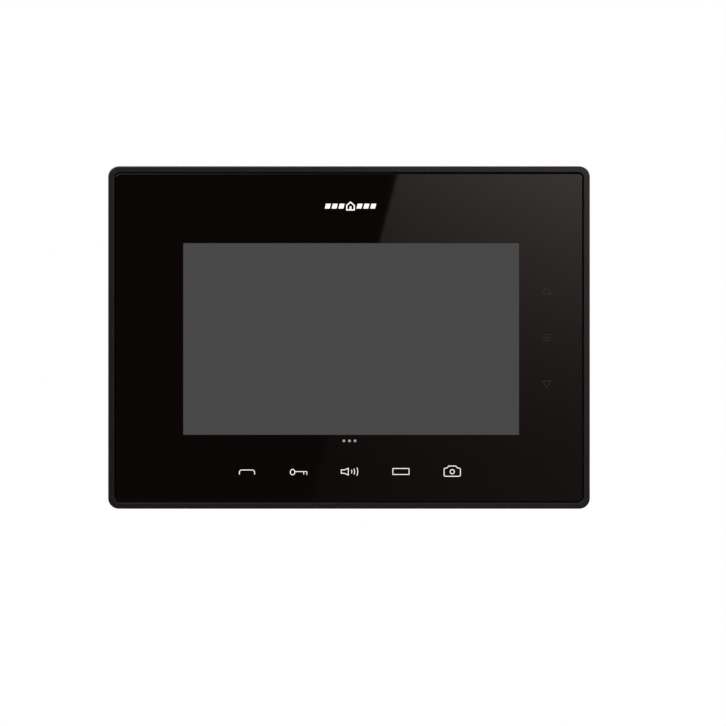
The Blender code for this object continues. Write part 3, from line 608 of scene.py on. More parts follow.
SATIN_BLACK = (0.0085, 0.0074, 0.0072)
M_RIM = plain("rim_satin_black", SATIN_BLACK, 0.34, (30.0, 0.06), (16.0, 0.02), (0.22, 3.0, 0.004))
M_GLASS = black_glass()
# the screen's grey is a painted glow
M_SCREEN_PAINTED_GLOW = screen_with_painted_glow()
M_LIT = lit_print("lit_key", (1.0, 0.965, 0.93), 1.1)
M_LIT_SOFT = lit_print("lit_dots", (0.36, 0.35, 0.34), 1.0)
M_UNLIT = plain("unlit_window", (0.0195, 0.018, 0.0175), 0.16, (1.5, 0.1))
M_HOUSING = moulded("housing_black", (0.0145, 0.0138, 0.0138), 0.55)
M_SWITCH_BLACK = moulded("switch_black", (0.018, 0.018, 0.018), 0.45, 0.15, 0.006, 3.0)
M_INNER_BLACK = moulded("inner_black", (0.020, 0.019, 0.019), 0.6)
M_ZINC = zinc_plate()
M_BLACK_STEEL = metal("black_zinc_screw", (0.045, 0.045, 0.048), 0.38, EVEN, 0.3, 0.006, 0.2)
M_TIN = metal("bright_tin", (0.70, 0.70, 0.68), 0.28, DRAWN_ALONG_X)
M_CLAMP = metal("clamp_steel", (0.66, 0.65, 0.60), 0.26, EVEN, 0.25, 0.006, 0.1)
M_WHITE = moulded("white_plastic", (0.78, 0.78, 0.76), 0.42, 0.2, 0.006, 4.0, 0.05)
M_TRACK = plain("covered_track", (0.020, 0.165, 0.058), 0.28, (1.0, 0.1), (0.8, 0.05))
M_INK = moulded("label_ink", (0.06, 0.06, 0.065), 0.6, 0.1, 0.004, 3.0, 0.0)
M_CHIP = moulded("chip_black", (0.022, 0.022, 0.024), 0.5, 0.15, 0.006, 3.0, 0.1)
M_SOCKET = moulded("socket_cream", (0.62, 0.58, 0.48), 0.45, 0.2, 0.006, 3.0, 0.05)
SILVER = (0.42, 0.425, 0.43)
M_LABEL = plain("label_film", SILVER, 0.45, (30.0, 0.02), (12.0, 0.03), (0.5, 2.0, 0.0015), Metallic=0.25)
CONE_BLACK = (0.028, 0.027, 0.027)
CONE_FIBRES = (0.25, 5.0, 0.03, (3.0, 1.0, 1.0))

SLOT_MATERIALS = {  # what the CAD nodes of each slot get where their shape is kept
    "amber_film": amber_film(),
    "black_aluminium": metal("black_anodised", (0.055, 0.055, 0.058), 0.42, DRAWN_ALONG_Z, 0.3, 0.008, 0.1),
    "black_foam": foam(),
    "black_rubber": moulded("black_rubber", (0.026, 0.026, 0.026), 0.72, 0.3, 0.02, 4.0, 0.15),
    "bright_aluminium": metal("drawn_can", (0.68, 0.68, 0.69), 0.24, DRAWN_ALONG_Z),
    "bright_tin": M_TIN,
    "display_panel": moulded("polariser", (0.05, 0.05, 0.052), 0.35, 0.1, 0.002, 20.0, 0.05),
    "ferrite": moulded("ferrite", (0.06, 0.06, 0.066), 0.55, 0.25, 0.02, 3.0, 0.2),
    "green_circuit_board": solder_resist(),
    "green_terminal_plastic": moulded("terminal_green", (0.018, 0.26, 0.085), 0.38, 0.25, 0.008, 5.0, 0.10),
    "matt_black_plastic": M_SWITCH_BLACK,
    "paper_cone": plain("paper_cone", CONE_BLACK, 0.82, (1.2, 0.35), grain=CONE_FIBRES),
    "red_switch_plastic": moulded("switch_red", (0.50, 0.026, 0.018), 0.36, 0.2, 0.006, 3.0, 0.08),
    "white_plastic": M_WHITE,
    "zinc_plated_steel": M_ZINC,
}


# --- Front ---


def rim_outline(inset):
    """The rim's outline drawn in by inset, its corners tightening from the outer to the pocket's radius."""
    radius = RIM_RADIUS - inset * (RIM_RADIUS - POCKET_RADIUS) / RIM
    return rounded_rectangle(grown(PANEL_SIZE, -inset), radius)


def rim():
    """The thin frame round the glass, rounded outside and eased at its inner lip."""
    outer, inner, back = 0.7, 0.35, 0.25
    profile = [
        (back, FRAME_BACK),
        (0.0, FRAME_BACK + back),
        *arc((outer, FRONT - outer), outer, 180, 90, 5),
        *arc((RIM - inner, FRONT - inner), inner, 90, 0, 5),
        (RIM, FRAME_BACK + back),
        (RIM - back, FRAME_BACK),
        (back, FRAME_BACK),
    ]
    piece = mesh_object("front_rim", *loft_data([(rim_outline(inset), z) for inset, z in profile]))
    smooth(piece, 50)
    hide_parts("front_frame")
    placed(piece, M_RIM, "gloss_black_plastic")


def middle_plate():
    """The plate behind the glass, with the screen's window and a hole for each touch spring."""
    back, front, lap, hole_radius = 20.2, 21.8, 0.2, 4.5
    outline = rounded_rectangle(grown(PANEL_SIZE, lap - RIM), POCKET_RADIUS)
    window = rectangle((SCREEN_SIZE[0] + 3.1, SCREEN_SIZE[1] + 3.2), SCREEN_CENTRE)
    holes = [circle(hole_radius, node_centre(f"touch_spring_{i}"), 24) for i in range(1, 9)]
    piece = prism("middle_plate", [outline, window, *holes], back, front)
    placed(piece, M_INNER_BLACK, "gloss_black_plastic")


def glass_panel():
    """The glass: polished edges, a printed border, and the screen's window as its own surface."""
    back_edge, edge = 0.25, 0.35

    def outline(inset):
        return rounded_rectangle(grown(GLASS_SIZE, -inset), GLASS_RADIUS - inset / 2)

    profile = [(back_edge, GLASS_BACK), (0.0, GLASS_BACK + back_edge)]
    profile += arc((edge, GLASS_FRONT - edge), edge, 180, 90, 6)
    points, faces = loft_data([(outline(inset), z) for inset, z in profile])
    front = outline(profile[-1][0])
    window = rectangle(SCREEN_SIZE, SCREEN_CENTRE)
    start = len(points) - len(front)
    faces.append(tuple(range(len(front))))
    faces += [tuple(i + start for i in cap) for cap in filled([front, window])]
    faces.append(tuple(range(len(points), len(points) + len(window))))
    points += [(x, y, GLASS_FRONT) for x, y in window]
    piece = smooth(mesh_object("glass_panel", points, faces), 40)
    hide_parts("front_glass")
    placed(piece, M_GLASS, "black_glass")
    piece.data.materials.append(M_SCREEN_PAINTED_GLOW)
    piece.data.polygons[-1].material_index = 1


ICON_LOW = GLASS_FRONT - 0.06
ICON_HIGH = GLASS_FRONT + 0.03
LINE = 0.36
THIN_LINE = 0.32
SIDE_LINE = 0.45


def icon(name, shapes, at, material=M_LIT):
    """One piece of inlaid print from several flat shapes round at, each a list of outlines."""
    shapes = [[moved(outline, at) for outline in shape] for shape in shapes]
    placed(prisms(name, shapes, ICON_LOW, ICON_HIGH), material, "black_glass")


def key_icons():
    """Five lit keys below the screen: answer, unlock, sound, monitor and picture."""
    row_y = -62.5

    left, right = arc((-2.4, -0.2), 1.15, 180, 90, 6), arc((2.4, -0.2), 1.15, 90, 0, 6)
    handset = [(-3.5, -1.15), (-3.55, -0.6), *left, *right, (3.55, -0.6), (3.5, -1.15)]
    icon("key_answer", [stroke(handset, LINE)], (-47.64, row_y - 0.3))

    bow = arc((-2.75, 0.0), 1.1, 0, 345, 23, (0.98, 1.15))
    shaft = [(-1.75, 0.25), (3.9, 0.25), (3.9, -1.25)]
    tooth = [(2.45, 0.25), (2.45, -1.15)]
    shapes = [stroke(bow, LINE, True), stroke(shaft, THIN_LINE), stroke(tooth, THIN_LINE)]
    icon("key_unlock", shapes, (-23.6, row_y - 0.35))

    horn = [(-3.75, 0.8), (-2.2, 0.8), (-0.45, 1.6), (-0.45, -1.6), (-2.2, -0.8), (-3.75, -0.8)]
    shapes = [stroke(horn, LINE, True)]
    for radius, half_angle in ((1.5, 33), (2.8, 29), (4.25, 26)):
        shapes.append(stroke(arc((-0.3, 0.0), radius, -half_angle, half_angle, 8), THIN_LINE))
    icon("key_sound", shapes, (0.12, row_y - 0.1))

    screen = stroke(rectangle((7.55, 2.8)), LINE - 0.02, True)
    icon("key_monitor", [screen], (24.25, row_y - 0.05))

    body = arc((-3.15, -1.75), 0.65, 180, 270, 4) + arc((3.15, -1.75), 0.65, 270, 360, 4)
    body += arc((3.15, 0.8), 0.65, 0, 90, 4) + [(2.45, 1.45), (1.7, 2.4), (-1.7, 2.4), (-2.45, 1.45)]
    body += arc((-3.15, 0.8), 0.65, 90, 180, 4)
    lens = circle(0.98, (0.0, -0.25), 24)
    icon("key_picture", [stroke(body, LINE, True), stroke(lens, LINE, True)], (48.2, row_y + 0.1))


def side_icons():
    """Three unlit keys to the right of the screen: up, menu and down."""
    up = [(-2.0, -1.35), (2.0, -1.35), (0.0, 1.65)]
    down = [(x, -y) for x, y in up]
    bars = [[rectangle((3.8, SIDE_LINE), (0.0, y))] for y in (-1.3, 0.0, 1.3)]
    icon("side_key_up", [stroke(up, SIDE_LINE, True)], node_centre("touch_spring_6"), M_UNLIT)
    icon("side_key_menu", bars, node_centre("touch_spring_7"), M_UNLIT)
    icon("side_key_down", [stroke(down, SIDE_LINE, True)], node_centre("touch_spring_8"), M_UNLIT)


def plain_marks():
    """A plain house sign between slanted blocks above the screen, and three dots below it."""
    house = [(-1.75, -1.75), (1.75, -1.75), (1.75, 0.35), (0.0, 1.85), (-1.75, 0.35)]
    door = rectangle((0.9, 1.7), (0.0, -0.95))
    shapes = [stroke(house, 0.58, True), [door]]
    block = [(-1.45, -1.15), (0.85, -1.15), (1.45, 1.15), (-0.85, 1.15)]
    block_pitch, gap = 3.2, 1.0
    for step in (-3, -2, -1, 1, 2, 3):
        shapes.append([moved(block, (step * block_pitch + math.copysign(gap, step), 0.0))])
    icon("house_sign", shapes, (0.7, 61.35))
    dots = [[circle(0.62, (i * 2.6, 0.0), 24)] for i in (-1, 0, 1)]
    icon("status_dots", dots, (0.2, -48.25), M_LIT_SOFT)


# --- Back ---

HOUSING_LOW, HOUSING_HIGH = panel_box("rear_housing")
HOUSING_SIZE = node_size("rear_housing")
HOUSING_RADIUS = 4.0
HOUSING_WALL = 2.2
HOUSING_CHAMFER = 5.0
BACK = HOUSING_LOW.z
INNER_BACK = BACK + 2.0
PLATE_SIZE = node_size("wall_bracket")
PLATE_THICKNESS = 1.5
LIFT = 9.0
RECESS = (PLATE_SIZE[0] + 4.0, PLATE_SIZE[1] + LIFT + 2.5)
RECESS_CENTRE = (0.0, -(LIFT - 0.5) / 2)
RECESS_FLOOR = PLATE_THICKNESS + 0.3
FLOOR_INSIDE = RECESS_FLOOR + 2.0
HOOKS = [(x, top) for x in (-46.0, 46.0) for top in (24.0, -14.0)]
HOOK_WIDTH = 8.0
FLOOR_RIM = 2.0
BAY = (44.0, 40.0)
BAY_CENTRE = (0.0, -24.0)
BAY_RADIUS = 2.5
BAY_WALL = 1.5
WELL_RADIUS = 3.1
WELL_WALL = 1.1
WELL_END = 12.5
POST_RADIUS = 3.0
SPEAKER_RING = 20.0
GRILLE_RADIUS = 14.5
GRILLE_PITCH = 3.0
GRILLE_SLOT = 1.6
VENT = (1.8, 5.0)
VENT_PITCH = 4.2
CABLE_OPENING = (48.0, 38.0)
CABLE_OPENING_CENTRE = (0.0, -23.0)
BOARD_BACK = 9.7
BOARD_FRONT = 11.3
BOARD_CLEARANCE = 0.3
SOCKETS = [(-50.0, -26.0), (44.0, -38.0), (-40.0, -38.0), (66.0, -20.0)]
SOCKET_REACH = 5.5
TERMINAL_PITCH = 5.0


def bead(y):
    """A cutter for a soft-edged stiffening bead, pressed into the bracket from behind."""
    size, slope, depth, steps = (60.0, 3.6), 1.8, 0.4, 8
    path = [(slope + 0.8, -0.05)]
    for step in range(1, steps + 1):
        path.append((slope * (1 - step / steps), depth * (1 - math.cos(math.pi * step / steps)) / 2))
    return solid_loft("bead", [(stadium(grown(size, grow), (0.0, y)), z) for grow, z in path])


def hook(x, top):
    """A hook bent up out of the plate: its root goes into the plate, and its tip leans out a little."""
    foot, lip, height = top - 1.5, top + 5.4, top + 7.0
    root, grip, tip, front = 0.75, 4.1, 4.9, 5.6
    profile = [(foot, root), (top, root), (top, grip), (lip, grip), (height, tip), (height, front)]
    profile += [(foot, front), (foot, root)]
    outline = rounded_path(profile, (0.0, 0.7, 0.3, 0.3, 0.3, 1.7))[:-1]
    return prism("hook", [outline], x - HOOK_WIDTH / 2, x + HOOK_WIDTH / 2, "X", 0.1)


def bracket():
    """The pressed plate, with its openings, the hooks bent up out of it and two stiffening beads."""
    edge = rounded_rectangle(PLATE_SIZE, 6.0)
    opening = rounded_rectangle(CABLE_OPENING, 3.0, CABLE_OPENING_CENTRE, 8)
    arrow = [(-5.0, 34.0), (5.0, 34.0), (0.0, 41.5)]
    wall_slots = [stadium((9.0, 4.6), (x, y), upright=True) for x in (-52.0, 52.0) for y in (-36.0, 38.0)]
    box_slots = [stadium((8.0, 4.4), (x, CABLE_OPENING_CENTRE[1])) for x in (-30.0, 30.0)]
    windows = [rounded_rectangle((9.0, 11.3), 0.5, (x, top - 6.85), 4) for x, top in HOOKS]
    level_holes = [circle(2.4, (x, 38.0)) for x in (-18.0, 18.0)]
    outlines = [edge, opening, arrow, *wall_slots, *box_slots, *windows, *level_holes]
    plate = prism("bracket_plate", outlines, 0.0, PLATE_THICKNESS, ease=0.14)
    boolean(plate, *(hook(x, top) for x, top in HOOKS), operation="UNION")
    boolean(plate, bead(8.0), bead(22.0))
    smooth(plate, 40)
    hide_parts("wall_bracket")
    placed(plate, M_ZINC, "zinc_plated_steel", BRACKET)


def housing_shell():
    """The dished skin, with its slanting border softly rounded into the back and the sides."""
    chamfer_end = BACK + HOUSING_CHAMFER
    profile = [(9.0, BACK), (HOUSING_CHAMFER, BACK), (0.0, chamfer_end), (0.0, HOUSING_HIGH.z)]
    profile += [(HOUSING_WALL, HOUSING_HIGH.z), (HOUSING_WALL, chamfer_end + 0.8)]
    profile += [(HOUSING_WALL + HOUSING_CHAMFER - 0.8, INNER_BACK)]
    sections = []
    for inset, z in rounded_path(profile, (1.6, 1.6, 0.25, 0.25, 0.0)):
        sections.append((rounded_rectangle(grown(HOUSING_SIZE, -inset), HOUSING_RADIUS, steps=10), z))
    return solid_loft("housing", sections)


def housing_inner_parts(screws, board_screws, speaker):
    """What stands inside the shell: recess floor, bay wall, screw wells, posts and the speaker's ring."""
    under_board = BOARD_BACK - BOARD_CLEARANCE
    floor_outline = rounded_rectangle(grown(RECESS, FLOOR_RIM), 6.0, RECESS_CENTRE)
    yield prism("floor", [floor_outline], 1.2, FLOOR_INSIDE)
    bay_outside = rounded_rectangle(grown(BAY, BAY_WALL), BAY_RADIUS + BAY_WALL, BAY_CENTRE, 8)
    bay_inside = rounded_rectangle(BAY, BAY_RADIUS, BAY_CENTRE, 8)
    yield prism("bay_wall", [bay_outside, bay_inside], 3.0, under_board)
    yield prisms("wells", [[circle(WELL_RADIUS + WELL_WALL, at)] for at in screws], 1.1, WELL_END + 2.0)
    yield prisms("posts", [[circle(POST_RADIUS, at, 24)] for at in board_screws], 2.3, under_board)
    ring = [circle(SPEAKER_RING, speaker), circle(SPEAKER_RING - 1.6, speaker)]
    yield prism("speaker_ring", ring, 1.4, 5.5)


def slot_rows(centre, lengths):
    """Eased cutters for a stack of level slots, the middle one at centre."""
    for row, length in enumerate(lengths):
        at = (centre[0], centre[1] + (row - (len(lengths) - 1) / 2) * GRILLE_PITCH)

        def slot(grow, size=(length, GRILLE_SLOT), at=at):
            return stadium(grown(size, grow), at)

        yield eased_cutter(slot, BACK, INNER_BACK + 1.0, 0.2)


def housing_cutters(screws, board_screws, speaker, microphone):
    """The recess, hook slots, bay, bores, grille, vents and the microphone's hole."""

    def recess_outline(grow):
        return rounded_rectangle(grown(RECESS, grow), 4.0 + grow, RECESS_CENTRE)

    def bay_outline(grow):
        return rounded_rectangle(grown(BAY, grow), BAY_RADIUS + grow, BAY_CENTRE, 8)

    yield eased_cutter(recess_outline, BACK, RECESS_FLOOR, 0.4)
    height = LIFT + PLATE_THICKNESS + 1.0
    places = [(x, top + 0.3 - height / 2) for x, top in HOOKS]
    slots = [[rounded_rectangle((HOOK_WIDTH + 2.0, height), 0.4, at, 4)] for at in places]
    yield prisms("hook_slots", slots, 0.0, FLOOR_INSIDE + 1.0)
    yield eased_cutter(bay_outline, RECESS_FLOOR, FLOOR_INSIDE + 0.6)
    wells = [lambda grow, at=at: circle(WELL_RADIUS + grow, at) for at in screws]
    yield merged("wells", [eased_cutter(well, BACK, WELL_END, 0.35) for well in wells])
    yield prisms("shank_bores", [[circle(1.7, at, 20)] for at in screws], 12.0, 16.0)
    yield prisms("post_bores", [[circle(1.3, at, 20)] for at in board_screws], 4.6, 11.0)
    rows = [2 * math.sqrt(GRILLE_RADIUS**2 - (GRILLE_PITCH * row) ** 2) for row in range(-4, 5)]
    yield merged("speaker_slots", slot_rows(speaker, rows))
    yield merged("vent_slots", slot_rows((-speaker[0], speaker[1]), [26.0] * 9))
    top, bottom = HOUSING_HIGH.y, HOUSING_LOW.y
    places = [(group + (i - 4) * VENT_PITCH, 10.0) for group in (-44.0, 44.0) for i in range(9)]
    vents = [[rounded_rectangle(VENT, 0.5, at, 4)] for at in places]
    yield prisms("top_vents", vents, top - 4.0, top + 1.0, "Y")
    yield prism("sound_hole", [circle(0.9, microphone)], bottom - 1.0, bottom + HOUSING_WALL + 1.0, "Y")


def rear_housing():
    """The housing's shell with all that stands in it and is cut out of it."""
    screws = [node_centre(f"housing_screw_{i}") for i in range(1, 7)]
    board_screws = [node_centre(f"board_screw_{i}") for i in range(1, 5)]
    speaker = node_centre("speaker_frame")
    low, high = panel_box("microphone")
    microphone = ((low.x + high.x) / 2, (low.z + high.z) / 2)
    shell = housing_shell()
    boolean(shell, *housing_inner_parts(screws, board_screws, speaker), operation="UNION")
    boolean(shell, *housing_cutters(screws, board_screws, speaker, microphone))
    smooth(shell, 35)
    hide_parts("rear_housing")
    placed(shell, M_HOUSING, "matt_black_plastic")


def cross_cutter(centre, reach, half_width, low, high):
    quarter = [(reach, half_width), (half_width, half_width), (half_width, reach)]
    outline = []
    for _ in range(4):
        outline += moved(quarter, centre)
        quarter = [(-y, x) for x, y in quarter]
    return solid_loft("cross", [(outline, low), (outline, high)])


def housing_screws():
    """Pan-head screws with a cross recess, deep in their wells."""
    shank, head, rise = 1.3, 1.9, 1.4
    for number in range(1, 7):
        node = f"housing_screw_{number}"
        low, high = panel_box(node)
        centre = node_centre(node)
        radius = (high.x - low.x) / 2
        seat = low.z + head
        edge = seat + rise - head
        profile = [(0.0, high.z), (shank * 0.3, high.z), (shank, high.z - 1.3), (shank, seat), (radius, seat)]
        for angle in (0.0, 0.35, 0.7, 1.05, 1.35):
            profile.append((radius * math.cos(angle), edge - rise * math.sin(angle)))
        profile.append((0.0, low.z))
        screw = turned(node + "_shape", profile, centre, 36)
        boolean(screw, cross_cutter(centre, 1.5, 0.36, low.z - 1.0, low.z + 1.1))
        smooth(screw, 40)
        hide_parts(node)
        placed(screw, M_BLACK_STEEL, "black_screw_steel")


def clamp_screws():
    """A slotted screw in each terminal's well and a steel cage behind each wire's mouth."""
    for block in ("terminal_block_bus", "terminal_block_bell"):
        low, high = panel_box(block)
        y = (low.y + high.y) / 2 + 0.6
        head, chamfer, foot = low.z + 0.9, low.z + 1.1, low.z + 2.55
        profile = [(0.0, foot), (1.5, foot), (1.5, chamfer), (1.3, head), (0.0, head)]
        for i in range(round((high.x - low.x) / TERMINAL_PITCH)):
            x = low.x + TERMINAL_PITCH * (i + 0.5)
            screw = turned(f"{block}_clamp_{i + 1}", profile, (x, y), 32)
            boolean(screw, prism("slot", [rectangle((3.4, 0.42), (x, y))], low.z, low.z + 1.5))
            placed(smooth(screw, 40), M_CLAMP, "bright_tin")
            sleeve = frame_of((3.0, 2.6), (x, 7.3), 0.4)
            cage = prism(f"{block}_cage_{i + 1}", sleeve, low.y + 0.5, low.y + 2.8, "Y")
            placed(cage, M_TIN, "bright_tin")


def on_board(name, outlines, rise, sink, material, slot="bright_tin"):
    """A flat piece on the board's back: rise and sink are the heights of its two faces over the board."""
    placed(prism(name, outlines, BOARD_BACK - rise, BOARD_BACK - sink), material, slot)


def small_parts_in_bay():
    """Chip resistors and plated holes on the stretch of board that the bay shows."""
    places = [(-18.0, -8.0), (-18.0, -11.5), (1.5, -8.0), (1.5, -11.0), (14.5, -8.0), (17.5, -8.0)]
    for number, (x, y) in enumerate(places, start=1):
        name = f"chip_resistor_{number}"
        on_board(name, [rectangle((1.2, 2.0), (x, y))], 0.65, 0.05, M_SWITCH_BLACK, "black_rubber")
        for end, side in ((1, -1.0), (2, 1.0)):
            cap = [rectangle((1.25, 0.45), (x, y + side))]
            on_board(f"{name}_end_{end}", cap, 0.68, 0.03, M_TIN)
    for i in range(7):
        at = (-14.5 + TERMINAL_PITCH * i, -34.5)
        ring = [circle(0.95, at, 24), circle(0.45, at, 24)]
        on_board(f"plated_hole_{i + 1}", ring, 0.06, -0.02, M_TIN)


def tracks():
    """Tracks on the stretch of board that the bay shows, from the wires' clamps to the switches."""
    runs = []
    for i in range(4):
        x = -13.5 + TERMINAL_PITCH * i
        turn = -19.5 + 0.9 * i
        runs.append([(x, -34.5), (x, turn), (x - 1.8, turn + 1.8), (x - 1.8, -2.0)])
    for x in (-16.0, -17.0, -18.0):
        runs.append([(x, -41.0), (x, -20.0), (x - 2.0, -18.0)])
    for x, turn in ((11.5, -19.0), (16.5, -18.0)):
        runs.append([(x, -40.0), (x, turn), (x + 2.5, turn + 2.5)])
    for i in range(5):
        x = -9.0 + TERMINAL_PITCH / 2 * i
        runs.append([(x, -42.0), (x, -38.5), (x + 3.0, -35.5)])
    for number, run in enumerate(runs, start=1):
        on_board(f"track_{number}", stroke(run, 0.55), 0.04, -0.02, M_TRACK, "green_circuit_board")


def dip_marks():
    """A white bar along the side of the address switch where its sliders are on."""
    low, high = panel_box("dip_switch_body")
    bar = rectangle((high.x - low.x - 1.6, 0.45), ((low.x + high.x) / 2, high.y - 0.8))
    placed(prism("dip_on_mark", [bar], low.z - 0.03, low.z + 0.05), M_WHITE, "white_plastic")


def blank_label():
    """A label above the bracket's recess, blank but for its form: a border, lines to write on, and boxes."""
    line, centre = 0.25, (0.0, 60.0)
    outline = rounded_rectangle((58.0, 15.0), 1.5, centre, 6)
    placed(prism("blank_label", [outline], BACK - 0.08, BACK + 0.05), M_LABEL, "matt_black_plastic")
    shapes = [frame_of((55.0, 12.0), centre, line)]
    shapes += [[rectangle((30.0, line), (-9.5, centre[1] + 3.4 * row))] for row in (-1, 0, 1)]
    shapes += [frame_of((3.2, 3.2), (10.5 + 4.4 * box, centre[1]), line) for box in range(4)]
    placed(prisms("label_form", shapes, BACK - 0.1, BACK - 0.03), M_INK, "matt_black_plastic")


# --- Everything that keeps its CAD shape ---

REBUILT = ("wall_bracket", "rear_housing")  # drawn anew above, though their slots are in SLOT_MATERIALS
BROKEN_EDGES = {  # each node's bevel, and the shortest edge that gets it
    "main_board": (0.08, 1.5),
    "terminal_block_bus": (0.18, 2.0),
    "terminal_block_bell": (0.18, 2.0),
    "dip_switch_body": (0.12, 2.5),
    "reset_switch_body": (0.12, 2.0),
    **{f"dip_slider_{i}": (0.12, 0.5) for i in range(1, 5)},
}


def carried_over():
    """Copies of the other CAD nodes with merged facets, eased edges and a full finish."""
    for node, slot in SLOTS.items():
        if slot in SLOT_MATERIALS and node not in REBUILT:
            copy = refined(node, SLOT_MATERIALS[slot], *BROKEN_EDGES.get(node, ()))
            if node == "main_board":
                chips_and_sockets(copy)


def chips_and_sockets(board):
    """Gives the board's chips their black and its four lead sockets their cream colour."""
    board.data.materials.append(M_CHIP)
    board.data.materials.append(M_SOCKET)
    for face in board.data.polygons:
        x, depth, y = Vector((face.center.x, -face.center.y, face.center.z)) / MM
        if not BOARD_BACK - 0.02 <= depth <= BOARD_FRONT + 0.02:
            near = any(max(abs(x - u), abs(y - v)) < SOCKET_REACH for u, v in SOCKETS)
            face.material_index = 2 if near else 1


# --- Stage, light and camera ---

CAMERA_DISTANCE = 1300.0  # from the glass
VIEW_WIDTH = 339.0  # what the picture takes in at the glass
VIEW_SHIFT = (0.01926, -0.0351)
SENSOR = 36.0


def camera():
    data = bpy.data.cameras.new("camera")
    data.sensor_width = SENSOR
    data.lens = SENSOR * CAMERA_DISTANCE / VIEW_WIDTH
    data.shift_x, data.shift_y = VIEW_SHIFT
    data.clip_start = 0.01
    data.clip_end = 50.0
    obj = linked("camera", data)
    obj.location = to_world(0.0, 0.0, GLASS_FRONT + CAMERA_DISTANCE)
    obj.rotation_euler = (math.radians(90), 0.0, 0.0)
    bpy.context.scene.camera = obj


def area_light(name, at, size, power, colour=(1.0, 1.0, 1.0), glossy=True):
    """A soft light at a place in metres, turned to face the object."""
    data = bpy.data.lights.new(name, "AREA")
    data.shape = "RECTANGLE"
    data.size, data.size_y = size
    data.energy = power
    data.color = colour
    obj = linked(name, data)
    obj.location = at
    obj.rotation_euler = Vector(at).to_track_quat("Z", "Y").to_euler()
    obj.visible_glossy = glossy


def lights():
    """Key and fill in front, one above, and softer ones that reach the sides and the back."""
    area_light("key_light", (-0.75, -1.0, 1.05), (1.5, 1.5), 14.0, (1.0, 0.98, 0.95))
    area_light("fill_light", (1.2, -0.9, 0.8), (0.7, 0.9), 7.0)
    area_light("top_light", (0.0, 0.15, 1.3), (1.0, 0.8), 8.0, glossy=False)
    area_light("back_left_light", (-0.7, 0.8, 1.2), (0.9, 0.9), 8.0)
    area_light("back_right_light", (0.7, 0.9, 1.2), (0.9, 0.9), 8.0)
    for side in (-1, 1):
        area_light("side_light", (1.55 * side, 0.25, 0.15), (0.9, 1.0), 5.0)
    area_light("low_back_light", (0.95, 1.1, -0.25), (1.1, 0.8), 0.9)


def world():
    """White where the camera looks straight at it. As light it is bright above and behind, dim in front."""
    made = bpy.data.worlds.new("studio")
    bpy.context.scene.world = made
    nodes = Nodes(made)
    nodes.tree.nodes.clear()
    direction = nodes.node("ShaderNodeTexCoord").outputs["Generated"]
    split = nodes.node("ShaderNodeSeparateXYZ", {0: direction}).outputs
    step = {"interpolation_type": "SMOOTHSTEP"}
    above = nodes.spread(split["Z"], 0.015, 0.26, 0.2, 0.95, **step)
    behind = nodes.spread(split["Y"], 0.0, 0.55, -0.3, 0.8, **step)
    below = nodes.spread(split["Z"], 0.13, 0.0, -0.7, -0.1, **step)
    light = nodes.math("ADD", nodes.math("ADD", above, behind), below)
    lit = nodes.node("ShaderNodeBackground", {"Color": light})
    seen = nodes.node("ShaderNodeBackground", {"Color": (1.0, 1.0, 1.0)})
    straight = nodes.node("ShaderNodeLightPath").outputs["Is Camera Ray"]
    choose = nodes.node("ShaderNodeMixShader", {0: straight, 1: lit.outputs[0], 2: seen.outputs[0]})
    nodes.node("ShaderNodeOutputWorld", {"Surface": choose.outputs[0]})


CARD_SHARE = 0.88  # the card's distance from the glass, as a share of the camera's
GLARE_FOOT, GLARE_TOP = (-18.2, -77.0), (22.9, 77.0)  # the glare's left edge, at the glass's foot and top
GLARE_REACH = 123.0  # from its left edge to where it is brightest
FADE_COLUMNS = 4


def glare(x, y):
    """How bright the card looks at a point of the glass: most at the upper right, least at the lower left."""
    height = min(max((y - GLARE_FOOT[1]) / (GLARE_TOP[1] - GLARE_FOOT[1]), 0.0), 1.5)
    across = min(max((x - GLARE_FOOT[0]) / GLARE_REACH, 0.0), 1.1)
    return (0.13 + 0.80 * height**2.1) * (0.36 + 0.64 * across)


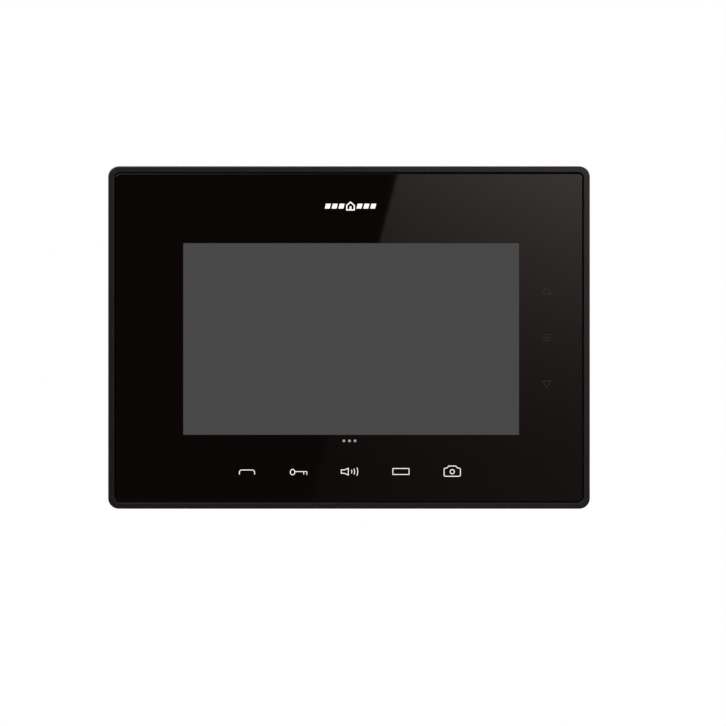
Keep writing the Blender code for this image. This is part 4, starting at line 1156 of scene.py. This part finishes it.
def reflected_card(name, eye, reach, strength, steps=24):
    """A soft box that only reflections see, so placed that from the eye its slanting edge crosses the glass.

    eye is the camera's place in panel coordinates; reach is how far the card's picture in the glass goes to
    the right, and up and down. It fades out at its right end.
    """
    lean = (GLARE_TOP[0] - GLARE_FOOT[0]) / (GLARE_TOP[1] - GLARE_FOOT[1])
    mirrored = Vector((eye[0], eye[1], 2 * GLASS_FRONT - eye[2]))
    points, brightness, faces = [], [], []
    for row in range(steps + 1):
        y = reach[1] * (2 * row / steps - 1)
        edge = (GLARE_FOOT[0] + GLARE_TOP[0]) / 2 + lean * y
        for column in range(steps + 1):
            x = edge + (reach[0] - edge) * column / steps
            seen = Vector((x, y, GLASS_FRONT))
            points.append(seen + (seen - mirrored) * CARD_SHARE)
            brightness.append(glare(x, y) * strength * min(1.0, (steps - column) / FADE_COLUMNS))
            if row < steps and column < steps:
                corner = row * (steps + 1) + column
                faces.append((corner, corner + 1, corner + steps + 2, corner + steps + 1))
    mesh = raw_mesh(name, points, faces)
    mesh.attributes.new("brightness", "FLOAT", "POINT").data.foreach_set("value", brightness)
    mesh.materials.append(card_light())
    card = linked(name, mesh)
    card.visible_camera = False
    card.visible_diffuse = False
    card.visible_shadow = False


def card_light():
    """A warm glow, as strong at each point as the card's mesh says."""
    finish = bpy.data.materials.new("card_light")
    nodes = Nodes(finish)
    nodes.tree.nodes.clear()
    brightness = nodes.node("ShaderNodeAttribute", attribute_name="brightness").outputs["Fac"]
    glow = nodes.node("ShaderNodeEmission", {"Color": (1.0, 0.89, 0.83), "Strength": brightness})
    nodes.node("ShaderNodeOutputMaterial", {"Surface": glow.outputs[0]})
    return finish


def cards():
    """One card for the camera in front, and one for an eye that looks from the right and above."""
    reflected_card("front_card", (0.0, 0.0, GLASS_FRONT + CAMERA_DISTANCE), (420.0, 231.0), 1.0)
    reflected_card("side_card", (708.0, 467.0, 720.0), (135.0, 95.0), 0.55)


def floor():
    """A pale floor well below the hanging monitor."""
    radius, drop = 600.0, 300.0
    points = [(x, -drop, -y) for x, y in circle(radius, steps=60)]
    mesh = raw_mesh("floor", points, [tuple(range(len(points)))])
    glow = {"Emission_Color": (1.0, 1.0, 1.0), "Emission_Strength": 0.35}
    mesh.materials.append(plain("pale_floor", (0.80, 0.80, 0.79), 0.7, (120.0, 0.02), **glow))
    obj = linked("floor", mesh)
    obj.visible_glossy = False


camera()
world()
lights()
cards()
floor()

rim()
middle_plate()
glass_panel()
key_icons()
side_icons()
plain_marks()
bracket()
rear_housing()
carried_over()
housing_screws()
clamp_screws()
small_parts_in_bay()
tracks()
dip_marks()
blank_label()

bpy.context.scene.view_settings.view_transform = "Standard"
